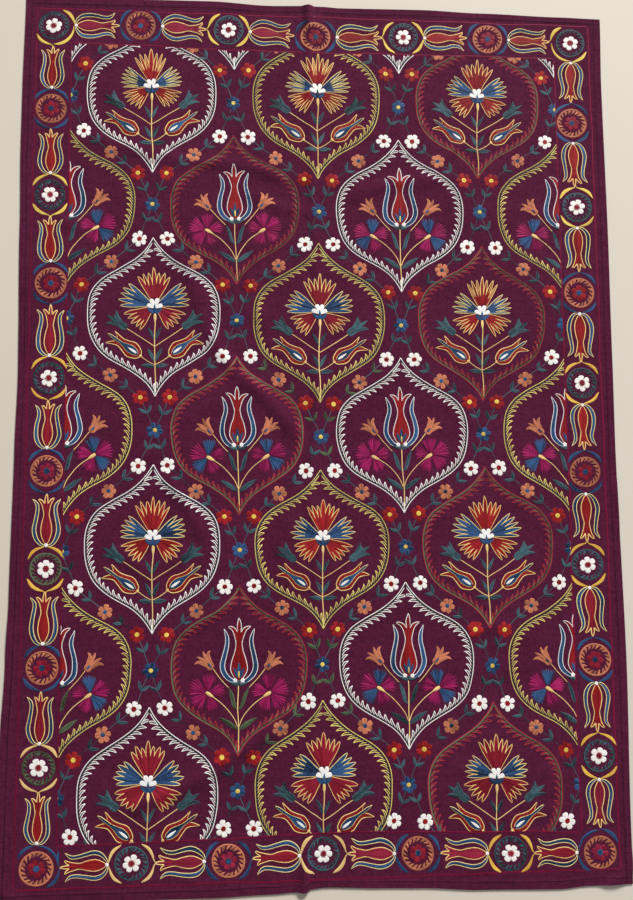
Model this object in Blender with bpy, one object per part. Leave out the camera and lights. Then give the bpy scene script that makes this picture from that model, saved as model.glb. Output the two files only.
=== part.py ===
"""Suzani: one loom-wide sheet of plum cloth with a turned and stitched hem, lying flat.

The sheet rests on the plane z = 0.  It keeps the long crease it was stored with, two
puckers where that crease meets the hem, and a fan of soft wrinkles in its left half.
Metres, +Z up.  +X is across the cloth, +Y along it.  The origin is the middle of the
underside's bounding box.
"""

import math

import bpy
from mathutils import Vector
from mathutils.geometry import delaunay_2d_cdt

# ---------------------------------------------------------------- driving sizes (metres)
WIDTH = 1.570            # nominal cut and hemmed width
LENGTH = 2.326           # nominal cut and hemmed length
CLOTH_THICKNESS = 0.0020  # ground cloth with the silk worked through it
HEM_THICKNESS = 0.0028   # three layers of the ground cloth, pressed
HEM_DEPTH = 0.017        # edge to hem stitching
HEM_STEP = 0.004         # width of the step from hem to single cloth

EDGE_PITCH = 0.045       # spacing of points along the outline and the hem
FIELD_PITCH = 0.064      # spacing of points over the plain flat field
FOLD_PITCH = 0.030       # spacing of points along a fold
CLEAR_FIELD = 0.026      # field points stay this far from a fold's points
CLEAR_FOLD = 0.0055      # fold points stay this far from each other

GROUND_COLOUR = (0.092, 0.013, 0.040, 1.0)   # plum
GROUND_ROUGHNESS = 0.72

# How far each edge lies outside the nominal rectangle.
# columns: distance along the edge from its middle, outward offset
EDGE_LEFT = [
    (-1.174, 0.011), (-0.797, 0.009), (-0.600, 0.002), (-0.443, -0.002), (-0.050, -0.005),
    (0.119, -0.008), (0.533, -0.001), (0.745, 0.003), (0.908, 0.003), (1.174, 0.000),
]
EDGE_RIGHT = [
    (-1.165, 0.000), (-1.050, 0.001), (-0.598, 0.008), (-0.064, 0.003), (0.179, 0.005),
    (0.554, 0.008), (0.942, 0.007), (1.148, 0.011),
]
EDGE_TOP = [
    (-0.785, 0.011), (-0.290, 0.010), (-0.126, 0.001), (-0.030, 0.003), (0.018, 0.002),
    (0.067, -0.001), (0.290, 0.000), (0.458, -0.006), (0.684, -0.012), (0.796, -0.015),
]
EDGE_BOTTOM = [
    (-0.796, 0.011), (-0.384, 0.008), (-0.275, 0.008), (-0.128, 0.003), (-0.054, -0.001),
    (-0.039, 0.000), (-0.026, -0.007), (0.009, -0.010), (0.158, -0.005), (0.245, -0.003),
    (0.396, 0.005), (0.599, 0.008), (0.675, 0.002), (0.786, 0.000),
]

# The folds.  Each runs from start over a middle control point to end, rises to height on
# its line and falls to nothing at half_width either side.  lean shifts the crest towards
# one side.  ease is the length over which a fold dies out at its start and at its end;
# 0 lets it run out through the hem.
# columns: name, start, middle, end, half_width, height, lean, ease at start, ease at end
FOLDS = [
    ("crease_top",      (-0.021, 1.180), (-0.019, 0.800), (-0.006, 0.420), 0.017, 0.0036, 0.0, 0.000, 0.120),
    ("crease_middle",   (-0.008, 0.500), (0.010, 0.160), (-0.028, -0.190), 0.017, 0.0030, 0.1, 0.120, 0.120),
    ("crease_bottom",   (-0.026, -0.110), (0.012, -0.560), (-0.013, -0.800), 0.017, 0.0032, 0.0, 0.120, 0.100),
    ("crease_end",      (-0.010, -0.740), (-0.022, -0.900), (-0.046, -1.180), 0.017, 0.0038, 0.0, 0.100, 0.000),
    ("pucker_top",      (-0.026, 1.182), (-0.022, 1.140), (-0.014, 1.060), 0.021, 0.0070, 0.2, 0.000, 0.060),
    ("pucker_top_side", (0.012, 1.150), (-0.002, 1.120), (-0.012, 1.085), 0.013, 0.0030, 0.0, 0.020, 0.030),
    ("pucker_bottom",   (-0.048, -1.182), (-0.046, -1.130), (-0.034, -1.050), 0.021, 0.0072, -0.2, 0.000, 0.060),
    ("long_wrinkle",    (-0.642, 0.794), (-0.482, 0.731), (-0.316, 0.706), 0.026, 0.0040, 0.2, 0.080, 0.050),
    ("arch_wrinkle",    (-0.349, 0.701), (-0.213, 0.735), (-0.070, 0.652), 0.022, 0.0046, 0.2, 0.050, 0.050),
    ("arch_low",        (-0.211, 0.645), (-0.136, 0.596), (-0.048, 0.580), 0.018, 0.0032, 0.0, 0.040, 0.030),
    ("fan_upper",       (-0.417, 0.498), (-0.329, 0.401), (-0.250, 0.273), 0.022, 0.0024, 0.0, 0.060, 0.060),
    ("fan_main",        (-0.331, 0.402), (-0.324, 0.248), (-0.209, 0.125), 0.030, 0.0062, 0.3, 0.070, 0.030),
    ("fan_ridge",       (-0.236, 0.143), (-0.137, 0.086), (-0.032, -0.062), 0.028, 0.0062, 0.2, 0.040, 0.070),
    ("fan_edge",        (-0.188, 0.426), (-0.170, 0.335), (-0.135, 0.246), 0.019, 0.0030, 0.0, 0.050, 0.050),
    ("fan_tip",         (-0.207, 0.552), (-0.177, 0.512), (-0.166, 0.427), 0.018, 0.0026, 0.0, 0.040, 0.040),
    ("short_left",      (-0.418, -0.120), (-0.342, -0.196), (-0.295, -0.313), 0.026, 0.0060, 0.3, 0.050, 0.050),
    ("short_left_low",  (-0.549, -0.290), (-0.507, -0.329), (-0.419, -0.407), 0.022, 0.0034, 0.2, 0.050, 0.050),
    ("short_left_turn", (-0.392, -0.371), (-0.350, -0.330), (-0.299, -0.319), 0.020, 0.0030, 0.0, 0.030, 0.030),
    ("lattice_wrinkle", (-0.367, -0.553), (-0.322, -0.500), (-0.199, -0.455), 0.022, 0.0044, 0.2, 0.050, 0.050),
    ("low_diagonal",    (-0.517, -0.966), (-0.283, -0.934), (-0.039, -0.704), 0.030, 0.0062, 0.3, 0.080, 0.080),
    ("right_short",     (0.306, 0.676), (0.342, 0.723), (0.402, 0.794), 0.019, 0.0040, 0.0, 0.040, 0.040),
    ("right_soft",      (0.058, 0.607), (0.166, 0.670), (0.377, 0.675), 0.030, 0.0034, 0.1, 0.060, 0.060),
    ("right_low",       (0.361, -0.557), (0.415, -0.523), (0.496, -0.510), 0.020, 0.0024, 0.0, 0.040, 0.040),
    ("right_below",     (0.109, -0.690), (0.156, -0.690), (0.211, -0.741), 0.018, 0.0028, 0.0, 0.030, 0.030),
    ("left_border",     (-0.694, 0.555), (-0.650, 0.544), (-0.606, 0.506), 0.020, 0.0038, 0.0, 0.030, 0.030),
    ("left_low_border", (-0.672, -0.700), (-0.615, -0.682), (-0.560, -0.662), 0.018, 0.0022, 0.0, 0.030, 0.030),
    ("wave_left",       (-0.812, -0.470), (-0.795, -0.520), (-0.812, -0.600), 0.030, 0.0040, 0.0, 0.040, 0.040),
    ("wave_left_high",  (-0.806, 0.300), (-0.790, 0.220), (-0.804, 0.120), 0.026, 0.0026, 0.0, 0.040, 0.040),
    ("wave_right",      (0.808, -0.130), (0.792, -0.200), (0.806, -0.290), 0.028, 0.0034, 0.0, 0.040, 0.040),
    ("corner_lift",     (0.690, -1.196), (0.765, -1.150), (0.812, -1.075), 0.026, 0.0046, 0.0, 0.030, 0.030),
    ("corner_lift_left", (-0.822, -1.100), (-0.775, -1.150), (-0.700, -1.200), 0.024, 0.0034, 0.0, 0.030, 0.030),
]


# ---------------------------------------------------------------- shape functions
def eased(t):
    t = min(max(t, 0.0), 1.0)
    return t * t * (3.0 - 2.0 * t)


def edge_offset(table, along):
    """Outward offset of an edge at a place along it, eased from row to row."""
    if along <= table[0][0]:
        return table[0][1]
    for (a0, o0), (a1, o1) in zip(table, table[1:]):
        if along <= a1:
            return o0 + (o1 - o0) * eased((along - a0) / (a1 - a0))
    return table[-1][1]


def laid(u, v):
    """Place of the point (u, v) of the cloth, each from -1 to 1, as it lies."""
    x_nominal, y_nominal = u * WIDTH / 2, v * LENGTH / 2
    left = -WIDTH / 2 - edge_offset(EDGE_LEFT, y_nominal)
    right = WIDTH / 2 + edge_offset(EDGE_RIGHT, y_nominal)
    top = LENGTH / 2 + edge_offset(EDGE_TOP, x_nominal)
    bottom = -LENGTH / 2 - edge_offset(EDGE_BOTTOM, x_nominal)
    return Vector((left + (right - left) * (u + 1) / 2, bottom + (top - bottom) * (v + 1) / 2))


def fold_point(start, middle, end, t):
    a, b, c = Vector(start), Vector(middle), Vector(end)
    return a * (1 - t) ** 2 + b * 2 * t * (1 - t) + c * t * t


class Fold:
    """One fold of the table as a line of short pieces, to measure a point's distance from."""

    def __init__(self, row, pieces=28):
        (self.name, self.start, self.middle, self.end, self.half_width,
         self.height, self.lean, self.ease_start, self.ease_end) = row
        self.line = [fold_point(self.start, self.middle, self.end, i / pieces) for i in range(pieces + 1)]
        self.along = [0.0]
        for a, b in zip(self.line, self.line[1:]):
            self.along.append(self.along[-1] + (b - a).length)
        xs, ys = [p.x for p in self.line], [p.y for p in self.line]
        reach = self.half_width
        self.box = (min(xs) - reach, min(ys) - reach, max(xs) + reach, max(ys) + reach)

    def nearest(self, p):
        """(signed distance from the line, distance along it) of the line's point nearest p."""
        best = (1e9, 0.0, 0.0)
        for i, (a, b) in enumerate(zip(self.line, self.line[1:])):
            d = b - a
            t = min(max((p - a).dot(d) / d.length_squared, 0.0), 1.0)
            off = p - (a + d * t)
            if off.length < best[0]:
                side = 1.0 if d.x * off.y - d.y * off.x >= 0 else -1.0
                best = (off.length, side * off.length, self.along[i] + d.length * t)
        return best[1], best[2]

    def lift(self, p):
        x0, y0, x1, y1 = self.box
        if not (x0 <= p.x <= x1 and y0 <= p.y <= y1):
            return 0.0
        across, along = self.nearest(p)
        s = across / self.half_width
        if abs(s) >= 1.0:
            return 0.0
        s = s - self.lean * (1.0 - s * s)
        rise = max(0.0, 1.0 - s * s) ** 2
        if self.ease_start:
            rise *= eased(along / self.ease_start)
        if self.ease_end:
            rise *= eased((self.along[-1] - along) / self.ease_end)
        return self.height * rise


def underside(p, folds):
    """Height of the cloth's underside: 0 where it lies, more under a fold."""
    heights = sorted((f.lift(p) for f in folds), reverse=True)
    return heights[0] + 0.5 * heights[1]


def thickness(inset):
    """Thickness of the sheet at a distance inside its edge: hem, step, single cloth."""
    return HEM_THICKNESS + (CLOTH_THICKNESS - HEM_THICKNESS) * eased((inset - HEM_DEPTH) / HEM_STEP)


# ---------------------------------------------------------------- points of the sheet
def ring(inset, folds):
    """Points of a line that runs round the cloth at a distance inside its edge.

    They stand closer together where a fold runs out through the edge.
    """
    u_in, v_in = 1 - 2 * inset / WIDTH, 1 - 2 * inset / LENGTH
    corners = [(-u_in, -v_in), (u_in, -v_in), (u_in, v_in), (-u_in, v_in)]
    points = []
    for (u0, v0), (u1, v1) in zip(corners, corners[1:] + corners[:1]):
        length = math.hypot((u1 - u0) * WIDTH / 2, (v1 - v0) * LENGTH / 2)
        fine = max(4, round(length / 0.006))
        spots = [laid(u0 + (u1 - u0) * i / fine, v0 + (v1 - v0) * i / fine) for i in range(fine + 1)]
        raised = [underside(p, folds) > 0.0003 for p in spots]
        points.append(spots[0])
        last = 0
        for i in range(1, fine):
            pitch = 0.0105 if raised[i] or raised[last] else EDGE_PITCH
            if (i - last) * length / fine >= pitch and (fine - i) * length / fine >= 0.5 * pitch:
                points.append(spots[i])
                last = i
    return points


def sheet_points():
    folds = [Fold(row) for row in FOLDS]
    outline = ring(0.0, folds)
    insets = [0.0] * len(outline)
    points = list(outline)
    for inset in (HEM_DEPTH, HEM_DEPTH + HEM_STEP):
        line = ring(inset, folds)
        points += line
        insets += [inset] * len(line)
    hem_count = len(points)

    inner = HEM_DEPTH + HEM_STEP + 0.006
    u_in, v_in = 1 - 2 * inner / WIDTH, 1 - 2 * inner / LENGTH

    def inside(p):
        return abs(p.x) < u_in * WIDTH / 2 - 0.004 and abs(p.y) < v_in * LENGTH / 2 - 0.008

    placed = {}

    def room(p, clear):
        """True if no point of a fold or the hem lies nearer to p than clear."""
        cell = 0.03
        reach = int(clear / cell) + 1
        i, j = int(math.floor(p.x / cell)), int(math.floor(p.y / cell))
        for a in range(i - reach, i + reach + 1):
            for b in range(j - reach, j + reach + 1):
                if any((q - p).length < clear for q in placed.get((a, b), ())):
                    return False
        return True

    def keep(p):
        placed.setdefault((int(math.floor(p.x / 0.03)), int(math.floor(p.y / 0.03))), []).append(p)

    for p in points:
        keep(p)
    for fold in folds:
        length = fold.along[-1]
        steps = max(2, round(length / FOLD_PITCH))
        for i in range(steps + 1):
            t = i / steps
            p = fold_point(fold.start, fold.middle, fold.end, t)
            q = fold_point(fold.start, fold.middle, fold.end, min(t + 0.01, 1.0))
            if (q - p).length < 1e-9:
                q = p + (p - fold_point(fold.start, fold.middle, fold.end, t - 0.01))
            d = (q - p).normalized()
            side = Vector((-d.y, d.x))
            for share in (0.0, -0.5, 0.5, -1.0, 1.0):
                spot = p + side * share * fold.half_width
                if inside(spot) and room(spot, CLEAR_FOLD):
                    keep(spot)
                    points.append(spot)
                    insets.append(1.0)
    columns = round(2 * u_in * WIDTH / 2 / FIELD_PITCH)
    rows = round(2 * v_in * LENGTH / 2 / FIELD_PITCH)
    for j in range(rows + 1):
        for i in range(columns + 1):
            shift = 0.5 if j % 2 else 0.0
            u = -u_in + 2 * u_in * min((i + shift) / columns, 1.0)
            spot = laid(u, -v_in + 2 * v_in * j / rows)
            if inside(spot) and room(spot, CLEAR_FIELD):
                keep(spot)
                points.append(spot)
                insets.append(1.0)
    return points, insets, len(outline), hem_count, folds


def build_sheet(name):
    points, insets, outline_count, hem_count, folds = sheet_points()
    rings = [(0, outline_count)]
    first = outline_count
    # the hem's two inner lines are kept as edges, so that the step is a clean one
    for inset in (HEM_DEPTH, HEM_DEPTH + HEM_STEP):
        count = sum(1 for x in insets[:hem_count] if x == inset)
        rings.append((first, count))
        first += count
    edges = [(a + i, a + (i + 1) % n) for a, n in rings for i in range(n)]
    flat, _, faces, origin, _, _ = delaunay_2d_cdt(points, edges, [], 1, 1e-7)
    lows, highs = [], []
    for p, sources in zip(flat, origin):
        inset = insets[sources[0]] if sources else 1.0
        low = underside(p, folds)
        if low < 0.00025:      # no film of air: it lies, or it is clearly off the floor
            low = 0.0
        lows.append(low)
        highs.append(low + thickness(inset))
    x_mid = (min(p.x for p in flat) + max(p.x for p in flat)) / 2
    y_mid = (min(p.y for p in flat) + max(p.y for p in flat)) / 2
    n = len(flat)
    vertices = [(p.x - x_mid, p.y - y_mid, z) for p, z in zip(flat, lows)]
    vertices += [(p.x - x_mid, p.y - y_mid, z) for p, z in zip(flat, highs)]
    polygons = []
    count = {}
    for face in faces:
        a, b, c = face[:3]
        turn = (flat[b] - flat[a]).cross(flat[c] - flat[a])
        if turn < 0:
            b, c = c, b
        polygons.append((a + n, b + n, c + n))
        polygons.append((a, c, b))
        for e in ((a, b), (b, c), (c, a)):
            count[e] = count.get(e, 0) + 1
    for (a, b) in list(count):
        if (b, a) not in count:          # a rim edge, with the cloth on its left
            polygons.append((a, b, b + n))
            polygons.append((a, b + n, a + n))
    mesh = bpy.data.meshes.new(name)
    mesh.from_pydata(vertices, [], polygons)
    mesh.validate()
    mesh.update()
    mesh.shade_smooth()
    mesh.set_sharp_from_angle(angle=math.radians(50))
    obj = bpy.data.objects.new(name, mesh)
    bpy.context.scene.collection.objects.link(obj)
    return obj


def cloth_material(name, colour, roughness):
    material = bpy.data.materials.new(name)
    material.use_nodes = True
    shader = material.node_tree.nodes["Principled BSDF"]
    shader.inputs["Base Color"].default_value = colour
    shader.inputs["Roughness"].default_value = roughness
    shader.inputs["Metallic"].default_value = 0.0
    shader.inputs["Sheen Weight"].default_value = 0.25
    return material


def main():
    for obj in list(bpy.data.objects):
        bpy.data.objects.remove(obj, do_unlink=True)
    cloth = build_sheet("ground_cloth")
    cloth.data.materials.append(cloth_material("plum_cloth", GROUND_COLOUR, GROUND_ROUGHNESS))


main()
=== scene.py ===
"""Looks of the suzani: a plum ground cloth with silk chain-stitch embroidery, laid flat.

The ground cloth is a thin sheet on the folds of its solid.  Every motif is worked out by a
function from named sizes in millimetres and is filled with rows of thread that lie on the
cloth, one mesh for each colour of silk.  Metres, +Z up, +X across the cloth, +Y along it.
"""

import math

import bpy
import numpy as np
from mathutils import Matrix, Vector


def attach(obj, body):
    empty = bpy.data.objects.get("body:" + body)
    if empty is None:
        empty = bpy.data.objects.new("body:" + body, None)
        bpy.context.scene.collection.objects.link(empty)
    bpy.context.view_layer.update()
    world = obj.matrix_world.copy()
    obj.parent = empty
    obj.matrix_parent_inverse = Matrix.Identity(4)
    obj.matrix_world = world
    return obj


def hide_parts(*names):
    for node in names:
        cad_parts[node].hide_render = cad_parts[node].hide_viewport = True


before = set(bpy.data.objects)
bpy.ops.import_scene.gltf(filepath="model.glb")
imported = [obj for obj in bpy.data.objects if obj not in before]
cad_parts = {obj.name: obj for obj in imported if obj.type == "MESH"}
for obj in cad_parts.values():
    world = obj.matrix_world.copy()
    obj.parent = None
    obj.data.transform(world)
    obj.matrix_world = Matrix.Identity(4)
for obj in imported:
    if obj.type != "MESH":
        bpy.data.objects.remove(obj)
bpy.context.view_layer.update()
rng = np.random.default_rng(1907)

# ------------------------------------------------------------------ the cloth (metres)
WIDTH = 1.570
LENGTH = 2.326
CLOTH_THICKNESS = 0.0020
HEM_THICKNESS = 0.0028
HEM_DEPTH = 0.017
HEM_STEP = 0.004
HEM_SHADE_HALF = 0.0020             # half width of the painted shade line where the hem ends
GRID = 0.0122             # pitch of the sheet's grid
CREASE_GRID = 0.0058      # the same beside the long crease
EDGE_REACH = 0.060        # an edge's unevenness dies out this far inside it

# How far each edge lies outside the nominal rectangle: distance along it, outward offset
EDGE_LEFT = [
    (-1.174, 0.011), (-0.797, 0.009), (-0.600, 0.002), (-0.443, -0.002), (-0.050, -0.005),
    (0.119, -0.008), (0.533, -0.001), (0.745, 0.003), (0.908, 0.003), (1.174, 0.000),
]
EDGE_RIGHT = [
    (-1.165, 0.000), (-1.050, 0.001), (-0.598, 0.008), (-0.064, 0.003), (0.179, 0.005),
    (0.554, 0.008), (0.942, 0.007), (1.148, 0.011),
]
EDGE_TOP = [
    (-0.785, 0.011), (-0.290, 0.010), (-0.126, 0.001), (-0.030, 0.003), (0.018, 0.002),
    (0.067, -0.001), (0.290, 0.000), (0.458, -0.006), (0.684, -0.012), (0.796, -0.015),
]
EDGE_BOTTOM = [
    (-0.796, 0.011), (-0.384, 0.008), (-0.275, 0.008), (-0.128, 0.003), (-0.054, -0.001),
    (-0.039, 0.000), (-0.026, -0.007), (0.009, -0.010), (0.158, -0.005), (0.245, -0.003),
    (0.396, 0.005), (0.599, 0.008), (0.675, 0.002), (0.786, 0.000),
]

# columns: name, start, middle, end, half_width, height, lean, ease at start, ease at end
FOLDS = [
    ("crease_top",      (-0.021, 1.180), (-0.019, 0.800), (-0.006, 0.420), 0.017, 0.0036, 0.0, 0.000, 0.120),
    ("crease_middle",   (-0.008, 0.500), (0.010, 0.160), (-0.028, -0.190), 0.017, 0.0030, 0.1, 0.120, 0.120),
    ("crease_bottom",   (-0.026, -0.110), (0.012, -0.560), (-0.013, -0.800), 0.017, 0.0032, 0.0, 0.120, 0.100),
    ("crease_end",      (-0.010, -0.740), (-0.022, -0.900), (-0.046, -1.180), 0.017, 0.0038, 0.0, 0.100, 0.000),
    ("pucker_top",      (-0.026, 1.182), (-0.022, 1.140), (-0.014, 1.060), 0.021, 0.0070, 0.2, 0.000, 0.060),
    ("pucker_top_side", (0.012, 1.150), (-0.002, 1.120), (-0.012, 1.085), 0.013, 0.0030, 0.0, 0.020, 0.030),
    ("pucker_bottom",   (-0.048, -1.182), (-0.046, -1.130), (-0.034, -1.050), 0.021, 0.0072, -0.2, 0.000, 0.060),
    ("long_wrinkle",    (-0.642, 0.794), (-0.482, 0.731), (-0.316, 0.706), 0.026, 0.0040, 0.2, 0.080, 0.050),
    ("arch_wrinkle",    (-0.349, 0.701), (-0.213, 0.735), (-0.070, 0.652), 0.022, 0.0046, 0.2, 0.050, 0.050),
    ("arch_low",        (-0.211, 0.645), (-0.136, 0.596), (-0.048, 0.580), 0.018, 0.0032, 0.0, 0.040, 0.030),
    ("fan_upper",       (-0.417, 0.498), (-0.329, 0.401), (-0.250, 0.273), 0.022, 0.0024, 0.0, 0.060, 0.060),
    ("fan_main",        (-0.331, 0.402), (-0.324, 0.248), (-0.209, 0.125), 0.030, 0.0062, 0.3, 0.070, 0.030),
    ("fan_ridge",       (-0.236, 0.143), (-0.137, 0.086), (-0.032, -0.062), 0.028, 0.0062, 0.2, 0.040, 0.070),
    ("fan_edge",        (-0.188, 0.426), (-0.170, 0.335), (-0.135, 0.246), 0.019, 0.0030, 0.0, 0.050, 0.050),
    ("fan_tip",         (-0.207, 0.552), (-0.177, 0.512), (-0.166, 0.427), 0.018, 0.0026, 0.0, 0.040, 0.040),
    ("short_left",      (-0.418, -0.120), (-0.342, -0.196), (-0.295, -0.313), 0.026, 0.0060, 0.3, 0.050, 0.050),
    ("short_left_low",  (-0.549, -0.290), (-0.507, -0.329), (-0.419, -0.407), 0.022, 0.0034, 0.2, 0.050, 0.050),
    ("short_left_turn", (-0.392, -0.371), (-0.350, -0.330), (-0.299, -0.319), 0.020, 0.0030, 0.0, 0.030, 0.030),
    ("lattice_wrinkle", (-0.367, -0.553), (-0.322, -0.500), (-0.199, -0.455), 0.022, 0.0044, 0.2, 0.050, 0.050),
    ("low_diagonal",    (-0.517, -0.966), (-0.283, -0.934), (-0.039, -0.704), 0.030, 0.0062, 0.3, 0.080, 0.080),
    ("right_short",     (0.306, 0.676), (0.342, 0.723), (0.402, 0.794), 0.019, 0.0040, 0.0, 0.040, 0.040),
    ("right_soft",      (0.058, 0.607), (0.166, 0.670), (0.377, 0.675), 0.030, 0.0034, 0.1, 0.060, 0.060),
    ("right_low",       (0.361, -0.557), (0.415, -0.523), (0.496, -0.510), 0.020, 0.0024, 0.0, 0.040, 0.040),
    ("right_below",     (0.109, -0.690), (0.156, -0.690), (0.211, -0.741), 0.018, 0.0028, 0.0, 0.030, 0.030),
    ("left_border",     (-0.694, 0.555), (-0.650, 0.544), (-0.606, 0.506), 0.020, 0.0038, 0.0, 0.030, 0.030),
    ("left_low_border", (-0.672, -0.700), (-0.615, -0.682), (-0.560, -0.662), 0.018, 0.0022, 0.0, 0.030, 0.030),
    ("wave_left",       (-0.812, -0.470), (-0.795, -0.520), (-0.812, -0.600), 0.030, 0.0040, 0.0, 0.040, 0.040),
    ("wave_left_high",  (-0.806, 0.300), (-0.790, 0.220), (-0.804, 0.120), 0.026, 0.0026, 0.0, 0.040, 0.040),
    ("wave_right",      (0.808, -0.130), (0.792, -0.200), (0.806, -0.290), 0.028, 0.0034, 0.0, 0.040, 0.040),
    ("corner_lift",     (0.690, -1.196), (0.765, -1.150), (0.812, -1.075), 0.026, 0.0046, 0.0, 0.030, 0.030),
    ("corner_lift_left", (-0.822, -1.100), (-0.775, -1.150), (-0.700, -1.200), 0.024, 0.0034, 0.0, 0.030, 0.030),
]

# ------------------------------------------------------------------ the silks (sRGB)
# columns: red, green, blue, how far its shades spread, roughness
SILKS = {
    "white":    (252, 249, 244, 0.05, 0.55),
    "yellow":   (240, 198, 92, 0.16, 0.54),
    "amber":    (238, 182, 76, 0.16, 0.54),
    "citron":   (226, 198, 114, 0.22, 0.52),
    "gold":     (255, 204, 130, 0.10, 0.54),
    "pale":     (255, 214, 144, 0.10, 0.52),
    "straw":    (240, 198, 130, 0.11, 0.52),
    "red":      (137, 24, 29, 0.22, 0.56),
    "crimson":  (131, 24, 42, 0.20, 0.56),
    "raspberry": (138, 32, 58, 0.22, 0.56),
    "scarlet":  (148, 28, 32, 0.22, 0.56),
    "blue":     (38, 72, 111, 0.38, 0.56),
    "green":    (52, 78, 86, 0.42, 0.54),
    "olive":    (72, 88, 64, 0.36, 0.56),
    "spine":    (28, 50, 52, 0.18, 0.56),
    "copper":   (184, 112, 82, 0.24, 0.56),
    "magenta":  (146, 24, 84, 0.28, 0.56),
    "rust":     (152, 42, 54, 0.20, 0.56),
    "frame":    (118, 8, 50, 0.16, 0.56),
    "hem":       (24, 5, 15, 0.10, 0.70),
}

# ------------------------------------------------------------------ stitches (millimetres)
ROW = 2.6          # width of one row of thread in a filling
STEP = 4.1         # length of a piece of a row
LINE = 2.7         # width of a single row worked as a line
CREST = 0.68       # a row's crest above the cloth
VALLEY = 0.24      # the dip between two rows
GROOVE_SHADE = 0.62      # how dark the painted shade in the dip is


# ------------------------------------------------------------------ the sheet's shape
def eased(t):
    t = np.clip(t, 0.0, 1.0)
    return t * t * (3.0 - 2.0 * t)


def edge_offset(table, along):
    """Outward offset of an edge at places along it, eased from row to row."""
    a = np.array(table)
    i = np.clip(np.searchsorted(a[:, 0], along, side="right") - 1, 0, len(a) - 2)
    return a[i, 1] + (a[i + 1, 1] - a[i, 1]) * eased((along - a[i, 0]) / (a[i + 1, 0] - a[i, 0]))


def edge_shift(a, b):
    """How far the point (a, b) of the flat cloth has moved with its uneven edges."""
    def fade(inside):
        return 1.0 - eased(inside / EDGE_REACH)

    dx = edge_offset(EDGE_RIGHT, b) * fade(WIDTH / 2 - a) - edge_offset(EDGE_LEFT, b) * fade(WIDTH / 2 + a)
    dy = edge_offset(EDGE_TOP, a) * fade(LENGTH / 2 - b) - edge_offset(EDGE_BOTTOM, a) * fade(LENGTH / 2 + b)
    return dx, dy


def fold_lift(row, x, y, pieces=28):
    """Height of one fold of the table at the points (x, y)."""
    _, start, middle, end, half_width, height, lean, ease_start, ease_end = row
    t = np.linspace(0, 1, pieces + 1)[:, None]
    line = np.array(start) * (1 - t) ** 2 + np.array(middle) * 2 * t * (1 - t) + np.array(end) * t * t
    along = np.concatenate([[0], np.cumsum(np.linalg.norm(np.diff(line, axis=0), axis=1))])
    low, high = line.min(0) - half_width, line.max(0) + half_width
    rise = np.zeros(len(x))
    near = np.nonzero((x >= low[0]) & (x <= high[0]) & (y >= low[1]) & (y <= high[1]))[0]
    if not len(near):
        return rise
    p = np.stack([x[near], y[near]], 1)
    best, across, length = np.full(len(p), 1e9), np.zeros(len(p)), np.zeros(len(p))
    for i in range(pieces):
        d = line[i + 1] - line[i]
        s = np.clip((p - line[i]) @ d / (d @ d), 0, 1)
        off = p - line[i] - s[:, None] * d
        far = np.linalg.norm(off, axis=1)
        side = np.where(d[0] * off[:, 1] - d[1] * off[:, 0] >= 0, 1.0, -1.0)
        closer = far < best
        best = np.where(closer, far, best)
        across = np.where(closer, side * far, across)
        length = np.where(closer, along[i] + s * np.linalg.norm(d), length)
    s = across / half_width
    inside = np.abs(s) < 1
    s = s - lean * (1 - s * s)
    found = np.clip(1 - s * s, 0, None) ** 2 * inside
    if ease_start:
        found *= eased(length / ease_start)
    if ease_end:
        found *= eased((along[-1] - length) / ease_end)
    rise[near] = height * found
    return rise


def fold_heights(x, y):
    rises = np.sort(np.array([fold_lift(row, x, y) for row in FOLDS]), axis=0)
    return rises[-1] + 0.5 * rises[-2]


def waves(x, y, seed, longest, shortest, count=26):
    """Smooth unevenness from -1 to about 1 with wavelengths between the two lengths."""
    r = np.random.default_rng(seed)
    total = np.zeros(np.shape(x))
    for _ in range(count):
        length = math.exp(r.uniform(math.log(shortest), math.log(longest)))
        turn, phase = r.uniform(0, 2 * math.pi, 2)
        total += np.sin((x * math.cos(turn) + y * math.sin(turn)) * 2 * math.pi / length + phase)
    return total / math.sqrt(count)


def spaced(length, fine_spots, hem=True):
    """Grid coordinates across the cloth: closer at the hem and beside the crease."""
    half = length / 2
    hem_spots = [0.0, 0.007, HEM_DEPTH - HEM_SHADE_HALF, HEM_DEPTH, HEM_DEPTH + HEM_SHADE_HALF, HEM_DEPTH + HEM_STEP]
    inner = half - HEM_DEPTH - HEM_STEP - 0.005
    count = int(round(2 * inner / GRID))
    spots = list(np.linspace(-inner, inner, count + 1))
    for centre, reach in fine_spots:
        spots = [s for s in spots if abs(s - centre) > reach]
        n = int(round(2 * reach / CREASE_GRID))
        spots += list(np.linspace(centre - reach + 0.001, centre + reach - 0.001, n))
    spots += [-half + s for s in hem_spots] + [half - s for s in hem_spots]
    return np.array(sorted(spots))


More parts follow.
